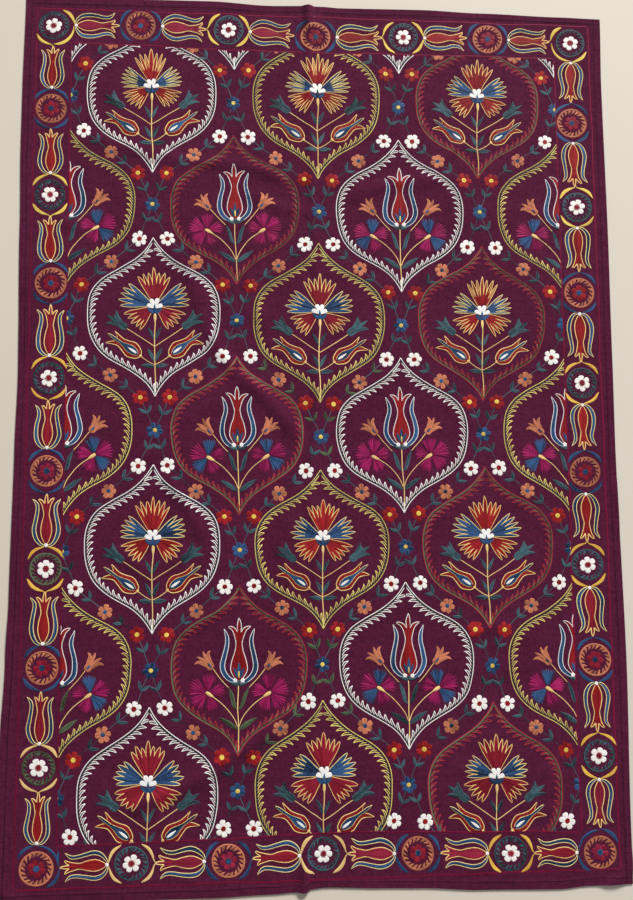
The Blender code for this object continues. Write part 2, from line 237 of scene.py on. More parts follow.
class Sheet:
    """The ground cloth as a grid, with its top as a surface that the threads lie on."""

    def __init__(self):
        self.a = spaced(WIDTH, [(-0.014, 0.034)])
        self.b = spaced(LENGTH, [])
        a, b = np.meshgrid(self.a, self.b, indexing="ij")
        dx, dy = edge_shift(a, b)
        x, y = a + dx, b + dy
        inset = np.minimum(WIDTH / 2 - np.abs(a), LENGTH / 2 - np.abs(b))
        low = fold_heights(x.ravel(), y.ravel()).reshape(x.shape)
        low = np.where(low < 0.00025, 0.0, low)
        # the cloth draws up a little between the stitches
        pucker = 0.00038 * waves(x, y, 11, 0.150, 0.045) + 0.00055 * waves(x, y, 12, 0.42, 0.16)
        pucker = np.clip(pucker + 0.0002, 0, 0.0016) * eased(inset / 0.03)
        thick = HEM_THICKNESS + (CLOTH_THICKNESS - HEM_THICKNESS) * eased((inset - HEM_DEPTH) / HEM_STEP)
        self.x, self.y, self.low, self.top = x, y, low + pucker, low + pucker + thick
        # painted shade along the line where the hem ends, at the hem's step, patchy along its length:
        # the side hems lie over the other two, so theirs runs right through, and only at the top right does the top
        # one's show beyond it
        side = 1 - np.abs(WIDTH / 2 - np.abs(a) - HEM_DEPTH) / HEM_SHADE_HALF
        end = 1 - np.abs(LENGTH / 2 - np.abs(b) - HEM_DEPTH) / HEM_SHADE_HALF
        under = (np.abs(a) > WIDTH / 2 - HEM_DEPTH) & ~((a > 0) & (b > 0))
        end = np.where(under, 0, end)
        patchy = 0.75 + 0.25 * waves(x, y, 13, 0.30, 0.06)
        self.hem_shade = np.clip(np.maximum(side, end), 0, 1) * np.clip(patchy, 0.35, 1)

    def height(self, x, y):
        """Height of the cloth's top at the points (x, y)."""
        a, b = x.copy(), y.copy()
        for _ in range(4):
            dx, dy = edge_shift(a, b)
            a, b = x - dx, y - dy
        i = np.clip(np.searchsorted(self.a, a, side="right") - 1, 0, len(self.a) - 2)
        j = np.clip(np.searchsorted(self.b, b, side="right") - 1, 0, len(self.b) - 2)
        u = np.clip((a - self.a[i]) / (self.a[i + 1] - self.a[i]), 0, 1)
        v = np.clip((b - self.b[j]) / (self.b[j + 1] - self.b[j]), 0, 1)
        z = self.top
        z00, z10, z01, z11 = z[i, j], z[i + 1, j], z[i, j + 1], z[i + 1, j + 1]
        return np.where(u >= v, z00 + u * (z10 - z00) + v * (z11 - z10),
                        z00 + v * (z01 - z00) + u * (z11 - z01))

    def mesh(self, name):
        n, m = self.x.shape
        top = np.stack([self.x, self.y, self.top], -1).reshape(-1, 3)
        low = np.stack([self.x, self.y, self.low], -1).reshape(-1, 3)
        index = np.arange(n * m).reshape(n, m)
        p, q = index[:-1, :-1].ravel(), index[1:, :-1].ravel()
        r, s = index[1:, 1:].ravel(), index[:-1, 1:].ravel()
        upper = np.concatenate([np.stack([p, q, r], 1), np.stack([p, r, s], 1)])
        under = upper[:, ::-1] + n * m
        rim = np.concatenate([index[:, 0], index[-1, 1:], index[-2::-1, -1], index[0, -2:0:-1]])
        nxt = np.roll(rim, -1)
        sides = np.concatenate([np.stack([rim, rim + n * m, nxt + n * m], 1),
                                np.stack([rim, nxt + n * m, nxt], 1)])
        # baking map: the top on the left, the underside beside it, the rim in a strip above
        faces = np.concatenate([upper, under, sides])
        place = flat_map(top)
        spot = np.concatenate([place * [0.79, 0.96] + [0.005, 0.005], place * [0.18, 0.96] + [0.81, 0.005]])
        bake = spot[faces.ravel()].reshape(len(faces), 3, 2)
        round_rim = np.arange(len(rim)) / len(rim)
        step = 1 / len(rim)
        u = np.concatenate([np.stack([round_rim, round_rim, round_rim + step], 1),
                            np.stack([round_rim, round_rim + step, round_rim + step], 1)])
        v = np.concatenate([np.tile([1.0, 0.0, 0.0], (len(rim), 1)), np.tile([1.0, 0.0, 1.0], (len(rim), 1))])
        bake[-len(sides):] = np.stack([0.005 + 0.985 * u, 0.976 + 0.016 * v], -1)
        hem_shade = np.concatenate([self.hem_shade.ravel(), np.zeros(n * m)])
        return new_mesh(name, np.concatenate([top, low]), faces, 3, {"OFBake": bake.reshape(-1, 2)}, {"hem_shade": hem_shade})


def flat_map(points):
    """The baking map: the cloth seen from above, filling the square."""
    return np.stack([points[:, 0] / 1.606 + 0.5, points[:, 1] / 2.364 + 0.5], 1)


def new_mesh(name, points, faces, corners, maps, values):
    """A mesh from arrays.  maps are UVs for each point or each corner, values are attributes."""
    mesh = bpy.data.meshes.new(name)
    mesh.vertices.add(len(points))
    mesh.vertices.foreach_set("co", points.astype(np.float32).ravel())
    mesh.loops.add(faces.size)
    mesh.loops.foreach_set("vertex_index", faces.astype(np.int32).ravel())
    mesh.polygons.add(len(faces))
    mesh.polygons.foreach_set("loop_start", np.arange(0, faces.size, corners, dtype=np.int32))
    mesh.update(calc_edges=True)
    for map_name, uv in {"OFBake": flat_map(points), **maps}.items():
        layer = mesh.uv_layers.new(name=map_name, do_init=False)
        uv = uv if len(uv) == faces.size else uv[faces.ravel()]
        layer.uv.foreach_set("vector", uv.astype(np.float32).ravel())
    for value_name, value in values.items():
        mesh.attributes.new(value_name, "FLOAT", "POINT").data.foreach_set("value", value.astype(np.float32))
    mesh.validate()
    mesh.shade_smooth()
    obj = bpy.data.objects.new(name, mesh)
    bpy.context.scene.collection.objects.link(obj)
    return obj


# ------------------------------------------------------------------ rows of thread
class Silk:
    """Everything that is worked in one colour."""

    def __init__(self, name):
        self.name, self.points, self.rise, self.stitch = name, [], [], []
        self.tone, self.quads, self.field, self.count = [], [], [], 0

    def keep(self, points, rise, stitch, tone, field):
        n, m = rise.shape
        index = np.arange(n * m).reshape(n, m) + self.count
        quads = np.stack([index[:-1, :-1], index[1:, :-1], index[1:, 1:], index[:-1, 1:]], -1).reshape(-1, 4)
        # the faces look up, whichever way the row runs
        d1 = points[1:, :-1] - points[:-1, 1:]
        d2 = points[1:, 1:] - points[:-1, :-1]
        if (d2[..., 0] * d1[..., 1] - d2[..., 1] * d1[..., 0]).sum() > 0:
            quads = quads[:, ::-1]
        self.points.append(points.reshape(-1, 2))
        self.rise.append(rise.ravel())
        self.stitch.append(stitch.reshape(-1, 2))
        self.tone.append(tone.ravel())
        self.quads.append(quads)
        self.field.append(np.full(n * m, field))
        self.count += n * m


silks = {name: Silk(name) for name in SILKS}


def band(colour, left, right, rows=1, crest=CREST, lift=0.0, field=True, ends=(True, True), shade=None,
         rim=0.0):
    """Rows of thread that fill the space between two lines, in metres, of as many points.

    shade is the tone of its silk, from -1.6 to 1.6, and rim how much lighter the outer rows are.
    """
    n, m = len(left), 2 * rows + 1
    s = np.linspace(0, 1, m)
    points = left[:, None, :] * (1 - s)[None, :, None] + right[:, None, :] * s[None, :, None]
    peak = crest * rng.uniform(0.86, 1.10, rows) + lift
    rise = np.empty((n, m))
    rise[:, 1::2] = peak
    if rows > 1:
        rise[:, 2:-1:2] = VALLEY + lift + 0.12 * rng.standard_normal(rows - 1).clip(-1, 1)
    rise[:, 0] = rise[:, -1] = -0.12
    rise[:, 1::2] *= 1 + 0.05 * np.sin(np.arange(n)[:, None] * 2.2 + rng.uniform(0, 6, rows))
    if ends[0]:
        rise[0] = -0.12
    if ends[1]:
        rise[-1] = -0.12
    middle = (left + right) / 2
    length = np.concatenate([[0], np.cumsum(np.linalg.norm(np.diff(middle, axis=0), axis=1))]) * 1000
    # the lanes set where the silk material paints its groove shade; a lone row keeps clear of it
    lanes = s * rows if rows > 1 else 0.22 + 0.56 * s      # a lone row has no groove beside it
    stitch = np.stack(np.broadcast_arrays(lanes[None, :], length[:, None] / 3.6), -1)
    base = rng.normal(0, 0.45) if shade is None else shade
    tone = base + 0.7 * rng.standard_normal(rows)
    if rows > 2:
        tone = tone + rim * (2 * np.abs(np.linspace(-1, 1, rows)) - 1)
    tone = np.repeat(tone, 2)
    tone = np.append(tone, tone[-1])
    tone = tone[None, :] + 0.25 * np.sin(length[:, None] / 9 + rng.uniform(0, 6))
    silks[colour].keep(points, rise / 1000, stitch, np.clip(tone, -1.6, 1.6), field)


def curve(points, step=STEP, count=None):
    """A smooth curve through a few points, cut into equal steps (mm)."""
    p = np.asarray(points, float)
    if len(p) > 2:
        q = np.concatenate([[2 * p[0] - p[1]], p, [2 * p[-1] - p[-2]]])
        t = np.linspace(0, 1, 13)[:-1, None]
        parts = []
        for a, b, c, d in zip(q, q[1:], q[2:], q[3:]):
            parts.append(0.5 * (2 * b + (c - a) * t + (2 * a - 5 * b + 4 * c - d) * t * t
                                + (3 * b - 3 * c + d - a) * t ** 3))
        p = np.concatenate(parts + [p[-1:]])
    along = np.concatenate([[0], np.cumsum(np.linalg.norm(np.diff(p, axis=0), axis=1))])
    n = count or max(3, int(round(along[-1] / step)) + 1)
    at = np.linspace(0, along[-1], n)
    return np.stack([np.interp(at, along, p[:, k]) for k in (0, 1)], 1)


def normals(line):
    """Unit normals to the left of a line."""
    d = np.gradient(line, axis=0)
    d /= np.maximum(np.linalg.norm(d, axis=1), 1e-9)[:, None]
    return np.stack([-d[:, 1], d[:, 0]], 1)


def profile(table, s):
    """A smooth value along s from rows of (share, value)."""
    x, y = np.array(table, float).T
    d = np.diff(y) / np.diff(x)
    m = np.zeros(len(x))
    m[0], m[-1] = d[0], d[-1]
    both = d[:-1] * d[1:]
    m[1:-1] = np.where(both > 0, 2 * both / np.where(np.abs(d[:-1] + d[1:]) < 1e-9, 1, d[:-1] + d[1:]), 0)
    i = np.clip(np.searchsorted(x, s, side="right") - 1, 0, len(x) - 2)
    h = x[i + 1] - x[i]
    t = np.clip((s - x[i]) / h, 0, 1)
    return ((2 * t ** 3 - 3 * t * t + 1) * y[i] + (t ** 3 - 2 * t * t + t) * h * m[i]
            + (3 * t * t - 2 * t ** 3) * y[i + 1] + (t ** 3 - t * t) * h * m[i + 1])


def shares(line):
    along = np.concatenate([[0], np.cumsum(np.linalg.norm(np.diff(line, axis=0), axis=1))])
    return along / along[-1]


class Place:
    """Where a motif stands: its origin, the direction of its axis, its scale and its side."""

    def __init__(self, x, y, turn=0.0, scale=1.0, side=1.0, field=True):
        """turn is the angle of the motif's axis from +Y, anticlockwise, in degrees."""
        self.origin, self.scale, self.side, self.field = np.array([x, y]), scale, side, field
        c, s = math.cos(math.radians(turn)), math.sin(math.radians(turn))
        self.across, self.up = np.array([c, s]), np.array([-s, c])
        self.turn = turn

    def __call__(self, p):
        p = np.asarray(p, float) * self.scale / 1000
        return self.origin + p[:, :1] * self.side * self.across + p[:, 1:] * self.up

    def inner(self, x, y, turn=0.0, scale=1.0, side=1.0):
        """The place of a smaller motif at (x, y) of this one, in mm."""
        at = self(np.array([[x, y]]))[0]
        return Place(at[0], at[1], self.turn + turn * self.side, self.scale * scale, self.side * side, self.field)


def line(at, colour, points, width=LINE, rows=1, lift=0.0, smooth=True, taper=0.7, step=STEP, shade=None):
    """One or more rows of thread along a line (mm)."""
    p = curve(points, step) if smooth else np.asarray(points, float)
    n = normals(p)
    half = np.full(len(p), width / 2)
    half[0] *= taper
    half[-1] *= taper
    half *= 1 + 0.05 * rng.standard_normal(len(p)).clip(-1.5, 1.5)
    band(colour, at(p + n * half[:, None]), at(p - n * half[:, None]), rows, crest=CREST, lift=lift,
         field=at.field, shade=shade)


def blade(at, colour, spine, widths, row=ROW, lift=0.0, step=STEP, shade=None, rim=0.0):
    """A leaf-like filling along a spine; widths are rows of (share, half width)."""
    p = curve(spine, step)
    half = np.maximum(profile(widths, shares(p)), 0.12)
    n = normals(p)
    rows = max(1, int(round(2 * half.max() / row)))
    left, right = p + n * half[:, None], p - n * half[:, None]
    band(colour, at(left), at(right), rows, lift=lift, field=at.field, shade=shade, rim=rim)


def edged(at, fill, edge, spine, widths, width=2.0, lift=0.0, step=STEP):
    """A blade with a row of another silk round its edge."""
    p = curve(spine, step)
    half = profile(widths, shares(p))
    n = normals(p)
    shade = rng.normal(0, 0.35)
    inner = np.maximum(half - width * 0.55, 0.1)
    rows = max(1, int(round(2 * inner.max() / ROW)))
    band(fill, at(p + n * inner[:, None]), at(p - n * inner[:, None]), rows, lift=lift, field=at.field)
    rim = np.maximum(half - width * 0.4, 0.25)
    for side in (1, -1):
        line(at, edge, p + side * n * rim[:, None], width, lift=lift + 0.08, smooth=False, shade=shade)


LEAF = [(0, 0.7), (0.22, 3.3), (0.48, 3.9), (0.76, 2.4), (1, 0.25)]


def leaf(at, colour, base, tip, half=3.9, bend=0.0, lift=0.0):
    base, tip = np.array(base, float), np.array(tip, float)
    d = tip - base
    middle = (base + tip) / 2 + bend * np.array([-d[1], d[0]])
    k = half / 3.9
    blade(at, colour, [base, middle, tip], [(s, w * k) for s, w in LEAF], lift=lift, row=2.2, rim=0.8)


def disc(at, colour, radius, rings=None, lift=0.0, squash=1.0):
    """A round filling worked in rings."""
    rings = rings or max(1, int(round(radius / ROW)))
    n = max(10, int(round(2 * math.pi * radius / STEP)))
    turn = np.linspace(0, 2 * math.pi, n + 1)
    ring = np.stack([np.cos(turn), np.sin(turn) * squash], 1)
    band(colour, at(ring * radius), at(ring * radius * 0.02), rings, lift=lift, field=at.field, ends=(False, False))


def flower(at, petals, centre, radius, heart, count=6, plump=0.340):
    """A round flower: petals with rounded ends about a disc.  plump is a petal's half width."""
    start = rng.uniform(-8, 8) + 90
    shade = rng.normal(-0.9 if petals == "white" else 0, 0.35)
    for k in range(count):
        angle = math.radians(start + k * 360 / count + rng.uniform(-4, 4))
        reach = radius * rng.uniform(0.95, 1.05)
        out = np.array([math.cos(angle), math.sin(angle)])
        half = radius * plump * rng.uniform(0.93, 1.07)
        blade(at, petals, [out * radius * 0.16, out * reach],
              [(0, half * 0.36), (0.30, half * 0.70), (0.60, half), (0.82, half * 0.92), (0.94, half * 0.60), (1, half * 0.25)],
              row=3.4, step=2.8, shade=shade + rng.normal(0, 0.5), rim=0.3)
    disc(at.inner(0, 0, rng.uniform(0, 60)), centre, heart, lift=0.25, squash=rng.uniform(0.9, 1.05))


# ------------------------------------------------------------------ motifs (millimetres)
# A tulip stands on its base.  Every table gives (across, up) for its right-hand half.
TULIPS_SHAPES = {
    "border": {
        "body": [(2.2, 1.0), (7.5, 9.0), (12.7, 21.0), (14.3, 34.0), (11.6, 52.0), (7.5, 68.0), (6.2, 80.0)],
        "prong": [(4.4, 76.0), (7.4, 90.0), (11.8, 99.0), (18.6, 105.5)],
        "prong_half": [(0, 3.6), (0.45, 3.7), (0.75, 2.8), (1, 0.5)],
        "notch": (4.2, 93.0),
        "tip": 116.5, "tip_half": 4.2,
        "petal": [(2.0, -3.0), (15.0, 1.5), (26.0, 15.0), (30.0, 33.0), (27.4, 54.0), (23.2, 75.0), (24.4, 91.0), (35.0, 105.0)],
        "petal_half": [(0, 1.5), (0.14, 4.1), (0.32, 5.6), (0.60, 4.9), (0.84, 4.4), (0.93, 2.7), (1, 0.4)],
        "line": 2.3, "crown": 2.8,
    },
    "lattice": {
        "body": [(3.0, 1.0), (11.2, 9.0), (19.0, 22.0), (21.4, 34.0), (17.6, 55.0), (10.8, 76.0), (8.2, 95.0), (8.4, 108.0)],
        "prong": [(5.4, 102.0), (9.0, 118.5), (16.5, 130.5), (30.0, 137.5)],
        "prong_half": [(0, 4.8), (0.45, 5.0), (0.75, 3.6), (1, 0.6)],
        "notch": (4.6, 120.5),
        "tip": 159.0, "tip_half": 5.9,
        "petal": [(4.0, -1.5), (21.0, 4.0), (35.0, 19.0), (40.5, 38.0), (37.5, 63.0), (31.0, 90.5), (31.0, 109.0), (39.5, 131.0)],
        "petal_half": [(0, 1.8), (0.14, 5.4), (0.32, 6.4), (0.58, 5.6), (0.82, 4.8), (0.93, 2.8), (1, 0.5)],
        "line": 1.95, "crown": 2.0,
    },
}


def tulip(at, kind, fill, edge, petal, petal_edge):
    """A tulip with a pointed belly, three prongs and a long hooked petal on either side."""
    shape = TULIPS_SHAPES[kind]
    width, crown = shape["line"], shape["crown"]
    body = np.array(shape["body"])
    p = curve(body, STEP)
    p[:, 0] -= width * 0.5
    belly = rng.uniform(0.95, 1.05)
    n = max(3, int(round(2 * p[:, 0].max() / ROW)))
    fill_shade = rng.normal(0, 0.4)
    band(fill, at(p * [-belly, 1]), at(p * [belly, 1]), n, field=at.field, shade=fill_shade)
    shade = rng.normal(0, 0.3)
    notch = np.array(shape["notch"])
    top = body[-1, 1]
    tip = np.array([rng.uniform(-1.4, 1.4), shape["tip"] + rng.uniform(-2, 2)])
    blade(at, fill, [(0, top - 8), tip - [0, 2.5]],
          [(0, 3.0), (0.5, shape["tip_half"] - width * 0.5), (1, 0.3)], lift=0.05, shade=fill_shade)
    for side in (-1, 1):
        k = np.array([side, 1.0])
        stray = rng.uniform(-2.2, 2.2, 2)
        spine = np.array(shape["prong"], float)
        spine[-1] += stray
        spine[-2] += stray * 0.5
        prong = curve(spine * k, 2.8)
        half = profile(shape["prong_half"], shares(prong))
        across = normals(prong) * side
        outer, inner = prong - across * half[:, None], prong + across * half[:, None]
        band(fill, at(outer + across * width * 0.45), at(inner - across * width * 0.45), 3, lift=0.03, field=at.field,
             shade=fill_shade)
        outline = [q * k * [belly, 1] for q in body[:-1] - [0.4, 0]] + [q for q in outer[len(outer) // 3::2]] + [prong[-1]]
        line(at, edge, outline, width, lift=0.1, shade=shade)
        line(at, edge, [prong[-1]] + [q for q in inner[::-1][1:len(inner) // 2 + 1:2]] + [notch * k], crown,
             lift=0.1, shade=shade)
        line(at, edge, [notch * k * [0.8, 1], ((shape["tip_half"] - 0.8) * side, (notch[1] + shape["tip"]) / 2),
                        tip + [0.3 * side, 0]], crown, lift=0.12, shade=shade)
        spine = [np.array(q) * k + rng.uniform(-0.9, 0.9, 2) for q in shape["petal"]]
        edged(at, petal, petal_edge, spine, shape["petal_half"], width=width * 0.95)


def border_tulip(at, fill):
    tulip(at, "border", fill, "gold", "blue", "pale")
    disc(at.inner(0, -1.0), "white", 4.7, lift=0.5)


def lattice_tulip(at):
    """The tulip that stands in a pointed medallion, its calyx at the origin."""
    tulip(at, "lattice", "red", "white", "blue", "white")
    # a small blue crown with a yellow heart in its belly
    for end, half, knee in (((0, 50), 5.2, 0), ((-14, 36), 4.6, -7.5), ((14, 36), 4.6, 7.5)):
        blade(at, "blue", [(end[0] * 0.12, 8), (knee, 22), end], [(0, 2.6), (0.42, half), (0.75, half * 0.6), (1, 0.3)],
              lift=0.45)
    blade(at, "yellow", [(0, 8), (0, 29)], [(0, 1.6), (0.5, 2.9), (1, 0.8)], lift=0.85, shade=0.4)
    for side in (-1, 1):
        disc(at.inner(9.6 * side, 3.0), "white", 5.6, lift=0.6)
        blade(at, "green", [(0.5 * side, -7.5), (14 * side, -5.0), (26 * side, 1.0)],
              [(0, 4.2), (0.4, 3.8), (0.75, 2.2), (1, 0.3)], lift=0.3)
    blade(at, "green", [(0, -8), (0, 7)], [(0, 2.6), (0.5, 2.4), (1, 0.5)], lift=0.75)


def fingered_fan(at, fill, edge, first, last, count, inner, outer, depth, heart=None, width=1.95,
                 sharp=1.6):
    """A petal spread like a fan and cut into fingers, from angle first to last (degrees).

    inner is where it starts and outer a list of radii its fingers reach, from first to last.
    heart lists the silks of the slivers in its fingers, and a low sharp gives pointed fingers.
    """
    bounds = np.linspace(first, last, count + 1)
    bounds[1:-1] += rng.uniform(-0.9, 0.9, count - 1)
    reaches = np.interp(np.linspace(0, 1, count), np.linspace(0, 1, len(outer)), outer)
    reaches = reaches * rng.uniform(0.965, 1.035, count)
    shade, edge_shade = rng.normal(0, 0.4), rng.normal(0, 0.3)

    def polar(r, angle):
        return np.stack([r * np.cos(np.radians(angle)), r * np.sin(np.radians(angle))], -1)

    for k in range(count):
        a0, a1, reach = bounds[k], bounds[k + 1], reaches[k]
        valley = reach * (1 - depth * rng.uniform(0.85, 1.12))
        middle = (a0 + a1) / 2 + rng.uniform(-0.8, 0.8)
        bend = (middle - (first + last) / 2) * 0.05
        r = np.linspace(inner, reach, max(5, int((reach - inner) / STEP)))
        q = np.clip((r - valley) / (reach - valley), 0, 1)
        open_share = np.where(r < valley, 1.0, (1 - q ** sharp) * 0.93 + 0.02)
        centre = middle + bend * q
        left = polar(r, centre + (a1 - middle) * open_share)
        right = polar(r, centre - (middle - a0) * open_share)
        if heart and heart[k % len(heart)] and reach - valley > 14:
            blade(at, heart[k % len(heart)], [polar(valley * 0.96, middle), polar((valley + reach) / 2, middle + bend * 0.5),
                              polar(reach * 0.93, middle + bend)], [(0, 0.5), (0.4, 1.5), (1, 0.3)], row=4.0, lift=0.15)
        if edge:
            pull = np.where(r < valley, 0.0, 0.42 * width)[:, None]
            towards = (right - left) / np.maximum(np.linalg.norm(right - left, axis=1), 0.1)[:, None]
            close = np.minimum(pull, np.linalg.norm(right - left, axis=1)[:, None] * 0.42)
            band(fill, at(left + towards * close), at(right - towards * close), 2, field=at.field,
                 shade=shade + rng.normal(0, 0.3))
            cut = max(0, int(np.searchsorted(r, valley)) - 1)
            for flank, outermost in ((left, k == count - 1), (right, k == 0)):
                part = flank if outermost else flank[cut:]
                if len(part) >= 3:
                    line(at, edge, part, width, lift=0.12, smooth=False, shade=edge_shade)
        else:
            lighter = 0.8 if fill == "blue" else 0.0
            band(fill, at(left), at(right), 2, field=at.field, shade=shade + lighter + rng.normal(0, 0.7))


def bud(at, colour, prongs, belly, length):
    """A small closed flower: a rounded bulb that splits into prongs (angle, length)."""
    shade = rng.normal(0, 0.3)
    blade(at, colour, [(0, 0), (0, length * 0.70)],
          [(0, belly * 0.50), (0.12, belly * 0.86), (0.36, belly), (0.72, belly * 0.80), (1, belly * 0.30)],
          shade=shade, rim=0.6)
    for angle, reach in prongs:
        t = math.radians(angle)
        end = np.array([math.sin(t) * reach, math.cos(t) * reach])
        root = np.array([math.sin(t) * belly * 1.1, length * 0.38])
        knee = np.array([math.sin(t) * reach * 0.54, reach * 0.72])
        wide = 0.52 if abs(angle) < 10 else 0.44
        blade(at, colour, [root, knee, end], [(0, belly * 0.42), (0.5, belly * wide), (0.8, belly * 0.30), (1, 0.3)],
              shade=shade + rng.normal(0.2, 0.6), lift=rng.uniform(0.05, 0.25), rim=0.5, row=2.2)


def side_tulip(at):
    """The striped tulip on a side branch: gold outline, red, blue and a white heart."""
    shade = rng.normal(0, 0.3)
    blade(at, "red", [(0, 2), (0, 68)], [(0, 3.4), (0.16, 14.5), (0.40, 20.0), (0.72, 13.0), (1, 8.6)])
    for side, end in ((-1, (-25, 93)), (1, (16, 95))):
        end = np.array(end, float) + rng.uniform(-2, 2, 2)
        blade(at, "red", [(6 * side, 52), (8.4 * side, 72), end], [(0, 3.6), (0.45, 3.8), (1, 0.3)], lift=0.04)
        line(at, "gold", [(0.8 * side, 0), (12 * side, 6), (21.4 * side, 28), (15.4 * side, 50), (12.4 * side, 68),
                          end + [0.6 * side, 0.6]], 2.5, lift=0.12, shade=shade)
        line(at, "gold", [end, (10.2 * side, 84), (5.6 * side, 78)], 2.3, lift=0.12, shade=shade)
    edged(at, "blue", "pale", [(0, 6), (0, 40), (0, 106)],
          [(0, 2.6), (0.14, 10.4), (0.27, 11.6), (0.44, 7.0), (0.60, 3.8), (0.86, 3.7), (1, 0.5)], width=1.9, lift=0.5)
    blade(at, "white", [(0, 10), (0, 42)], [(0, 1.6), (0.4, 4.0), (1, 0.6)], lift=0.95)
    disc(at.inner(0, 0), "straw", 4.0, lift=0.3)


LOW_REACH = [75, 78, 80, 81, 84]          # how far the fingers of a low fan reach
SIDE_REACH = [84, 91, 90, 91, 87]         # the same of a side fan


def carnation_spray(at, low, flanks, warm, depth, fingers, slivers):
    """The plant of a carnation medallion; the origin is the medallion's lower tip.

    low and flanks are the reach of its low and side fans, warm the silk of the low and top ones,
    and slivers whether the fingers of the side and top fans have a light sliver in them.
    """
    sway = rng.uniform(-1.2, 1.2, 4)
    stem = [(2.0, 15), (1.0 + sway[0], 62), (-0.6 + sway[1], 100), (-1.2 + sway[2], 150), (0.6 + sway[3], 196), (0.6, 214)]
    line(at, "straw", stem, 2.8, rows=1, taper=0.8)
    blade(at, "straw", [(0.6, 204), (0.4, 229)], [(0, 1.6), (0.55, 3.9), (1, 2.2)], lift=0.15)
    for side in (-1, 1):
        leaf(at, "green", (-1.0 + 1.2 * side, 154), (-1.0 + 19 * side, 191), 4.3, bend=0.03 * side)
        leaf(at, "green", (-0.5 + 1.2 * side, 97), (-0.5 + 20 * side, 134), 4.8, bend=0.03 * side)
        leaf(at, "green", (1.5 * side, 83), (37.5 * side, 87), 5.8, bend=0.03 * side)
        line(at, "straw", [(-1.4, 137), (30 * side, 157), (75 * side, 187)], 2.2)
        line(at, "straw", [(-0.5, 88), (18 * side, 97), (39 * side, 112)], 2.2)
        bud(at.inner(74 * side, 186, -52 * side, side=side), "green", [(2, 66), (23, 59), (-23, 57), (-11, 52)], 10.6, 56)
        side_tulip(at.inner(38 * side, 112, -54 * side, side=-side))
        flank = at.inner(0, 248, side=side)
        swing = rng.uniform(-1.5, 1.5, 2)
        fingered_fan(flank, "blue", "pale", -4 + swing[0], 45 + swing[0], fingers, 17,
                     [r * flanks for r in SIDE_REACH], depth * 1.08, heart=slivers and ["yellow", None])
        fingered_fan(flank, warm, "gold", -64 + swing[1], -11.5 + swing[1], fingers, 17,
                     [r * low for r in LOW_REACH], depth)
    top = at.inner(0, 248)
    swing = rng.uniform(-1.5, 1.5)
    fingered_fan(top, warm, "gold", 59 + swing, 121 + swing, 7, 20, [92, 96, 94, 106, 93, 96, 94], depth,
                 heart=slivers and ["gold", "gold", None, None, "gold", None, "gold"])
    # the heart: a blue calyx with four white lobes and a blue pin between them
    for x, y in ((-21.5, 4), (-9.5, 19.5), (8.0, 20), (20.5, 3.5)):
        end = np.array([x, y]) + rng.uniform(-1.0, 1.0, 2)
        blade(top, "white", [(end[0] * 0.05, -6), end], [(0, 1.8), (0.40, 4.6), (0.70, 6.2), (0.90, 4.9), (1, 2.0)],
              lift=0.55, step=2.6)
    for side in (-1, 1):
        blade(top, "blue", [(0.5 * side, -19), (9 * side, -15), (20.5 * side, -6)],
              [(0, 3.6), (0.4, 4.8), (0.75, 2.8), (1, 0.4)], lift=0.6)
    blade(top, "blue", [(0, -22), (0, 7)], [(0, 2.6), (0.4, 4.0), (0.7, 2.6), (1, 0.4)], lift=1.0)


def small_carnation(at, blues):
    """A carnation of five plain fans.  blues are the fans worked in blue."""
    for k, middle in enumerate((95, 23, -43, -112, 168)):
        half = (25.5, 32, 27, 25, 27)[k]
        colour = "blue" if k in blues else "magenta"
        reach = (48, 50, 48, 45, 44)[k]
        fingered_fan(at, colour, None, middle - half, middle + half, 7, 6,
                     [reach * 0.94, reach * 1.02, reach, reach * 1.02, reach * 0.95], 0.28, sharp=2.1)


def tulip_spray(at, blues, leaves):
    """The plant of a tulip medallion; the origin is the medallion's lower tip."""
    sway = rng.uniform(-1.0, 1.0, 2)
    line(at, "straw", [(1.5, 14), (0.8 + sway[0], 70), (-0.5 + sway[1], 120), (-1.0, 174)], 2.6)
    lattice_tulip(at.inner(0, 183))
    for side in (-1, 1):
        # the long bent leaf, and from its tip the branch of an orange bud
        blade(at, leaves, [(-0.5 + 1.5 * side, 115), (10 * side, 125), (15.5 * side, 146), (25 * side, 170)],
              [(0, 0.8), (0.3, 4.9), (0.6, 4.9), (1, 0.4)], row=2.2, rim=0.8)
        line(at, "straw", [(25 * side, 168), (46 * side, 191), (66 * side, 216)], 2.1)
        budding = at.inner(66 * side, 214, -42 * side, side=side)
        bud(budding, "copper", [(34, 47), (12, 50), (-13, 50), (-35, 46)], 10.0, 38)
        blade(budding, "blue", [(0, 3), (0, 21)], [(0, 1.2), (0.5, 3.2), (1, 0.6)], lift=0.7)
        # a carnation and its curved stalk
        line(at, "straw", [(1.0 * side, 72), (12 * side, 97), (38 * side, 128), (70 * side, 152)], 2.2)
        blade(at, "straw", [(61 * side, 146), (81 * side, 158)], [(0, 1.6), (0.6, 4.6), (1, 3.2)], lift=0.5)
        small_carnation(at.inner(77 * side, 156, side=side), blues)
        leaf(at, leaves, (1.5 * side, 65), (48 * side, 97), 6.2, bend=0.02 * side)


# Half of a medallion's pointed outline as two smooth arcs from the top tip to the lower one.
# columns: share of the half width, share of the height from the top
OGEE_UPPER = [(0.0, 0.0), (0.317, 0.256), (1.0, 0.171), (1.0, 0.47)]
OGEE_LOWER = [(1.0, 0.47), (1.0, 0.85), (0.282, 0.735), (0.0, 1.0)]
# How far the teeth reach inside the inner line, in mm, by share of the height from the top
TOOTH_REACH = [(0, 15.0), (0.12, 18.0), (0.5, 16.5), (0.8, 14.0), (1, 12.0)]
